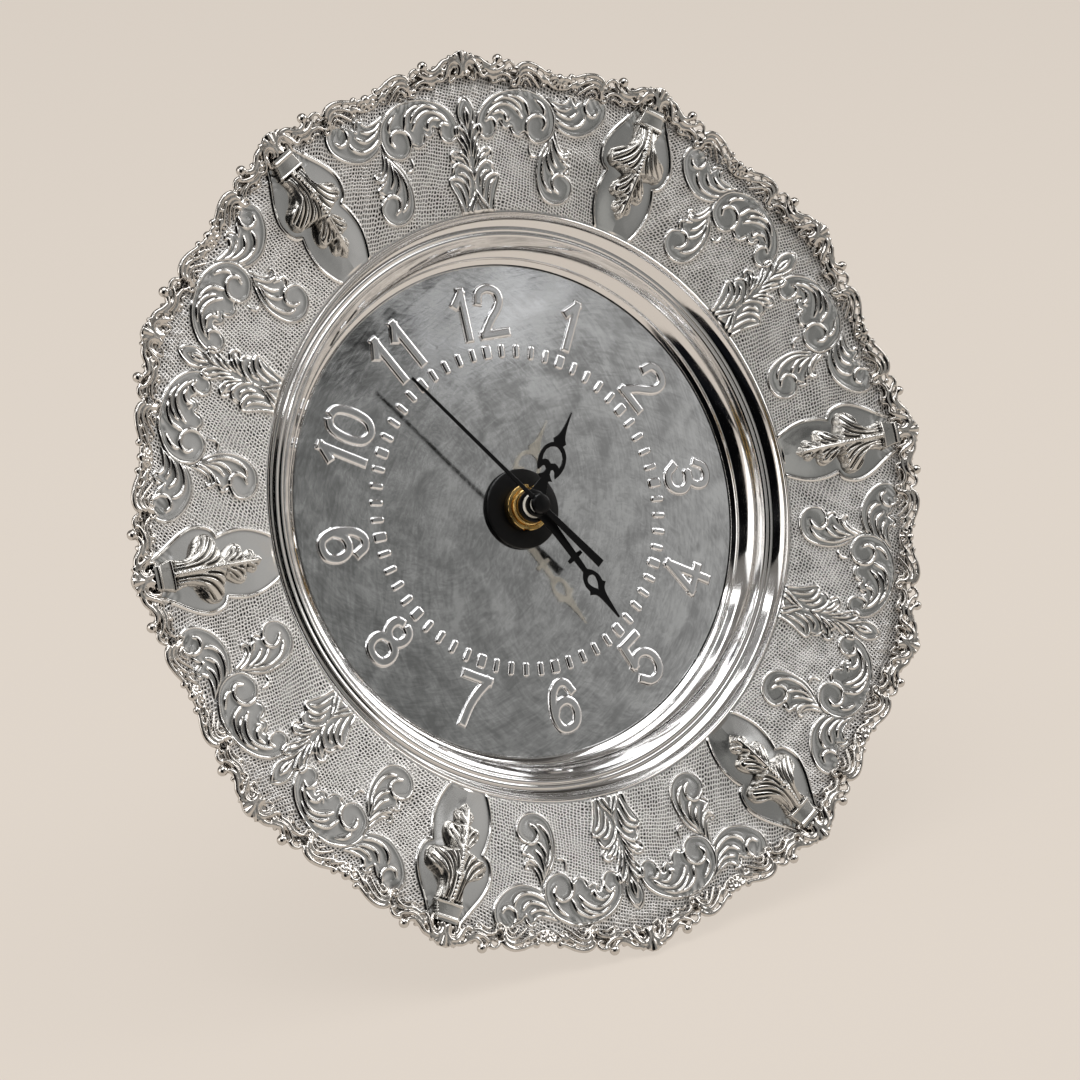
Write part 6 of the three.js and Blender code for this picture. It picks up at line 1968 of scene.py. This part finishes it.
    def build(self) -> None:
        """Makes the hands and turns each to its time."""
        hands = (
            ("hand_hour", self.pierced(self.hour_outlines(), *self.hour_hub), self.hour, HAND_LACQUER, Body.HOURS,
             "hour_hand"),
            ("hand_minute", self.pierced(self.minute_outlines(), *self.minute_hub), self.minute, HAND_LACQUER,
             Body.MINUTES, "minute_hand"),
            ("hand_second", self.second_hand(), self.second, SWEEP_LACQUER, Body.SECONDS, "second_hand"))
        for name, form, (level, turn), finish, body, node in hands:
            self.place(name, form.moved(0, 0, level).spun(turn), finish, body, Slot.HAND, [node], on_face=True)


@dataclass
class Movement(Assembly):
    """The battery movement: case, cover, setting knob, cell and contacts, with its train inside."""

    cell_axis: Point = (-19.1, -12.3)
    cell_radius: float = 7.2
    cell_ends: Point = (-24.7, 24.8)
    nub: Point = (2.7, 1.0)

    def cell(self) -> Form:
        """Turns the cell.

        Returns:
            The cell, lying across the bay with its plus end to the right.
        """
        left, right = self.cell_ends
        radius, (nub_radius, nub_length) = self.cell_radius, self.nub
        section = [(0.02, left), (radius - 1.4, left), (radius - 1.2, left + 0.25), (radius - 0.5, left + 0.25),
                   (radius, left + 0.8), (radius, right - 0.8), (radius - 0.4, right - 0.2),
                   (radius - 1.0, right - 0.1), (nub_radius + 0.6, right - 0.1), (nub_radius, right + 0.2),
                   (nub_radius, right + nub_length - 0.2), (nub_radius - 0.2, right + nub_length),
                   (0.02, right + nub_length)]
        form = turned(section, 64, ring=False)
        up, level = self.cell_axis
        x, y, z = form.points.T
        return Form(np.column_stack([z, y + up, -x + level]), form.faces)

    def build(self) -> None:
        """Dresses the case and what it holds."""
        self.place("cell_sleeved", self.cell(), CELL_SLEEVE, Body.CELL, Slot.CELL, ["battery"], 30)
        for node in ("movement_tray", "movement_cover", "setting_knob"):
            self.dress_node(node, BLACK_ABS, 0.3)
        for node in ("hour_wheel", "centre_wheel", "second_wheel", "third_wheel", "intermediate_wheel", "motion_wheel"):
            self.dress_node(node, ACETAL)
        for node in ("plus_contact", "minus_contact", "stator"):
            self.dress_node(node, NICKEL_STRIP, 0.1)
        self.dress_node("rotor", FERRITE)
        self.dress_node("coil", COPPER_ENAMEL)
        self.dress_node("circuit_board", GREEN_BOARD)


@dataclass
class Strut(Assembly):
    """The bracket behind the dish and the folding wire strut."""

    hinge: Point = (38.0, -8.0)
    arm: float = 34.3
    pin: float = 30.0
    pin_bend: float = 1.4
    bend: float = 4.0
    radius: float = 1.5
    taper: float = 45.5
    foot: float = 17.0
    splay_deg: float = 13.9
    lean_deg: float = 23.3
    foot_flat: float = 0.4
    table_gap: float = 0.01

    def half_line(self) -> list[Point]:
        """Bends the right half of the strut.

        Returns:
            Its middle line, from its pin down to the middle of its foot.
        """
        up, level = self.hinge
        foot_height = self.radius - self.foot_flat
        length = (self.face.point(0, up, level).z / MM - foot_height) / math.cos(math.radians(self.splay_deg))
        shoulder = length - self.taper
        slant = np.array([self.foot - self.arm, self.taper])
        slant = slant / np.hypot(*slant)

        def corner(reach: float, at: Point, inward: Sequence[float], outward: Sequence[float]) -> list[Point]:
            """A rounded bend: where it is, and the directions towards its two ends."""
            return [(at[0] + reach * ((1 - t)**2 * inward[0] + t**2 * outward[0]),
                     at[1] + reach * ((1 - t)**2 * inward[1] + t**2 * outward[1])) for t in np.linspace(0, 1, 9)]

        return [(self.pin, 0.0), *corner(self.pin_bend, (self.arm, 0.0), (-1, 0), (0, 1)),
                *corner(self.bend, (self.arm, shoulder), (0, -1), slant),
                *corner(self.bend, (self.foot, length), -slant, (-1, 0))]

    def build(self) -> None:
        """Bends the wire strut and dresses the bracket."""
        half = self.half_line()
        line = np.array([*half, *((-x, down) for x, down in reversed(half))])
        opened = math.radians(self.lean_deg + self.splay_deg)
        up, level = self.hinge
        path = np.column_stack([line[:, 0], up - line[:, 1] * math.cos(opened), level - line[:, 1] * math.sin(opened)])
        form = wire(path, np.full(len(path), self.radius), 20)
        standing = self.stood(form, self.table_gap)
        self.place("strut_wire", standing, ZINC_STEEL, Body.STRUT, Slot.STRUT, ["wire_strut"], 50)
        self.dress_node("strut_bracket", ZINC_STEEL, 0.2)


def main() -> None:
    """Builds the studio and every sub-assembly in order."""
    logging.basicConfig(level=logging.INFO, format="%(message)s")
    face = Face.from_joints(frame["joints"])
    Studio(face).build()
    dish = Dish(face)
    dish.build()
    Rim(face, dish).build()
    LeafMounts(face, dish).build()
    Dial(face).build()
    CentreStack(face).build()
    Hands(face).build()
    Movement(face).build()
    Strut(face).build()


if __name__ == "__main__":
    main()
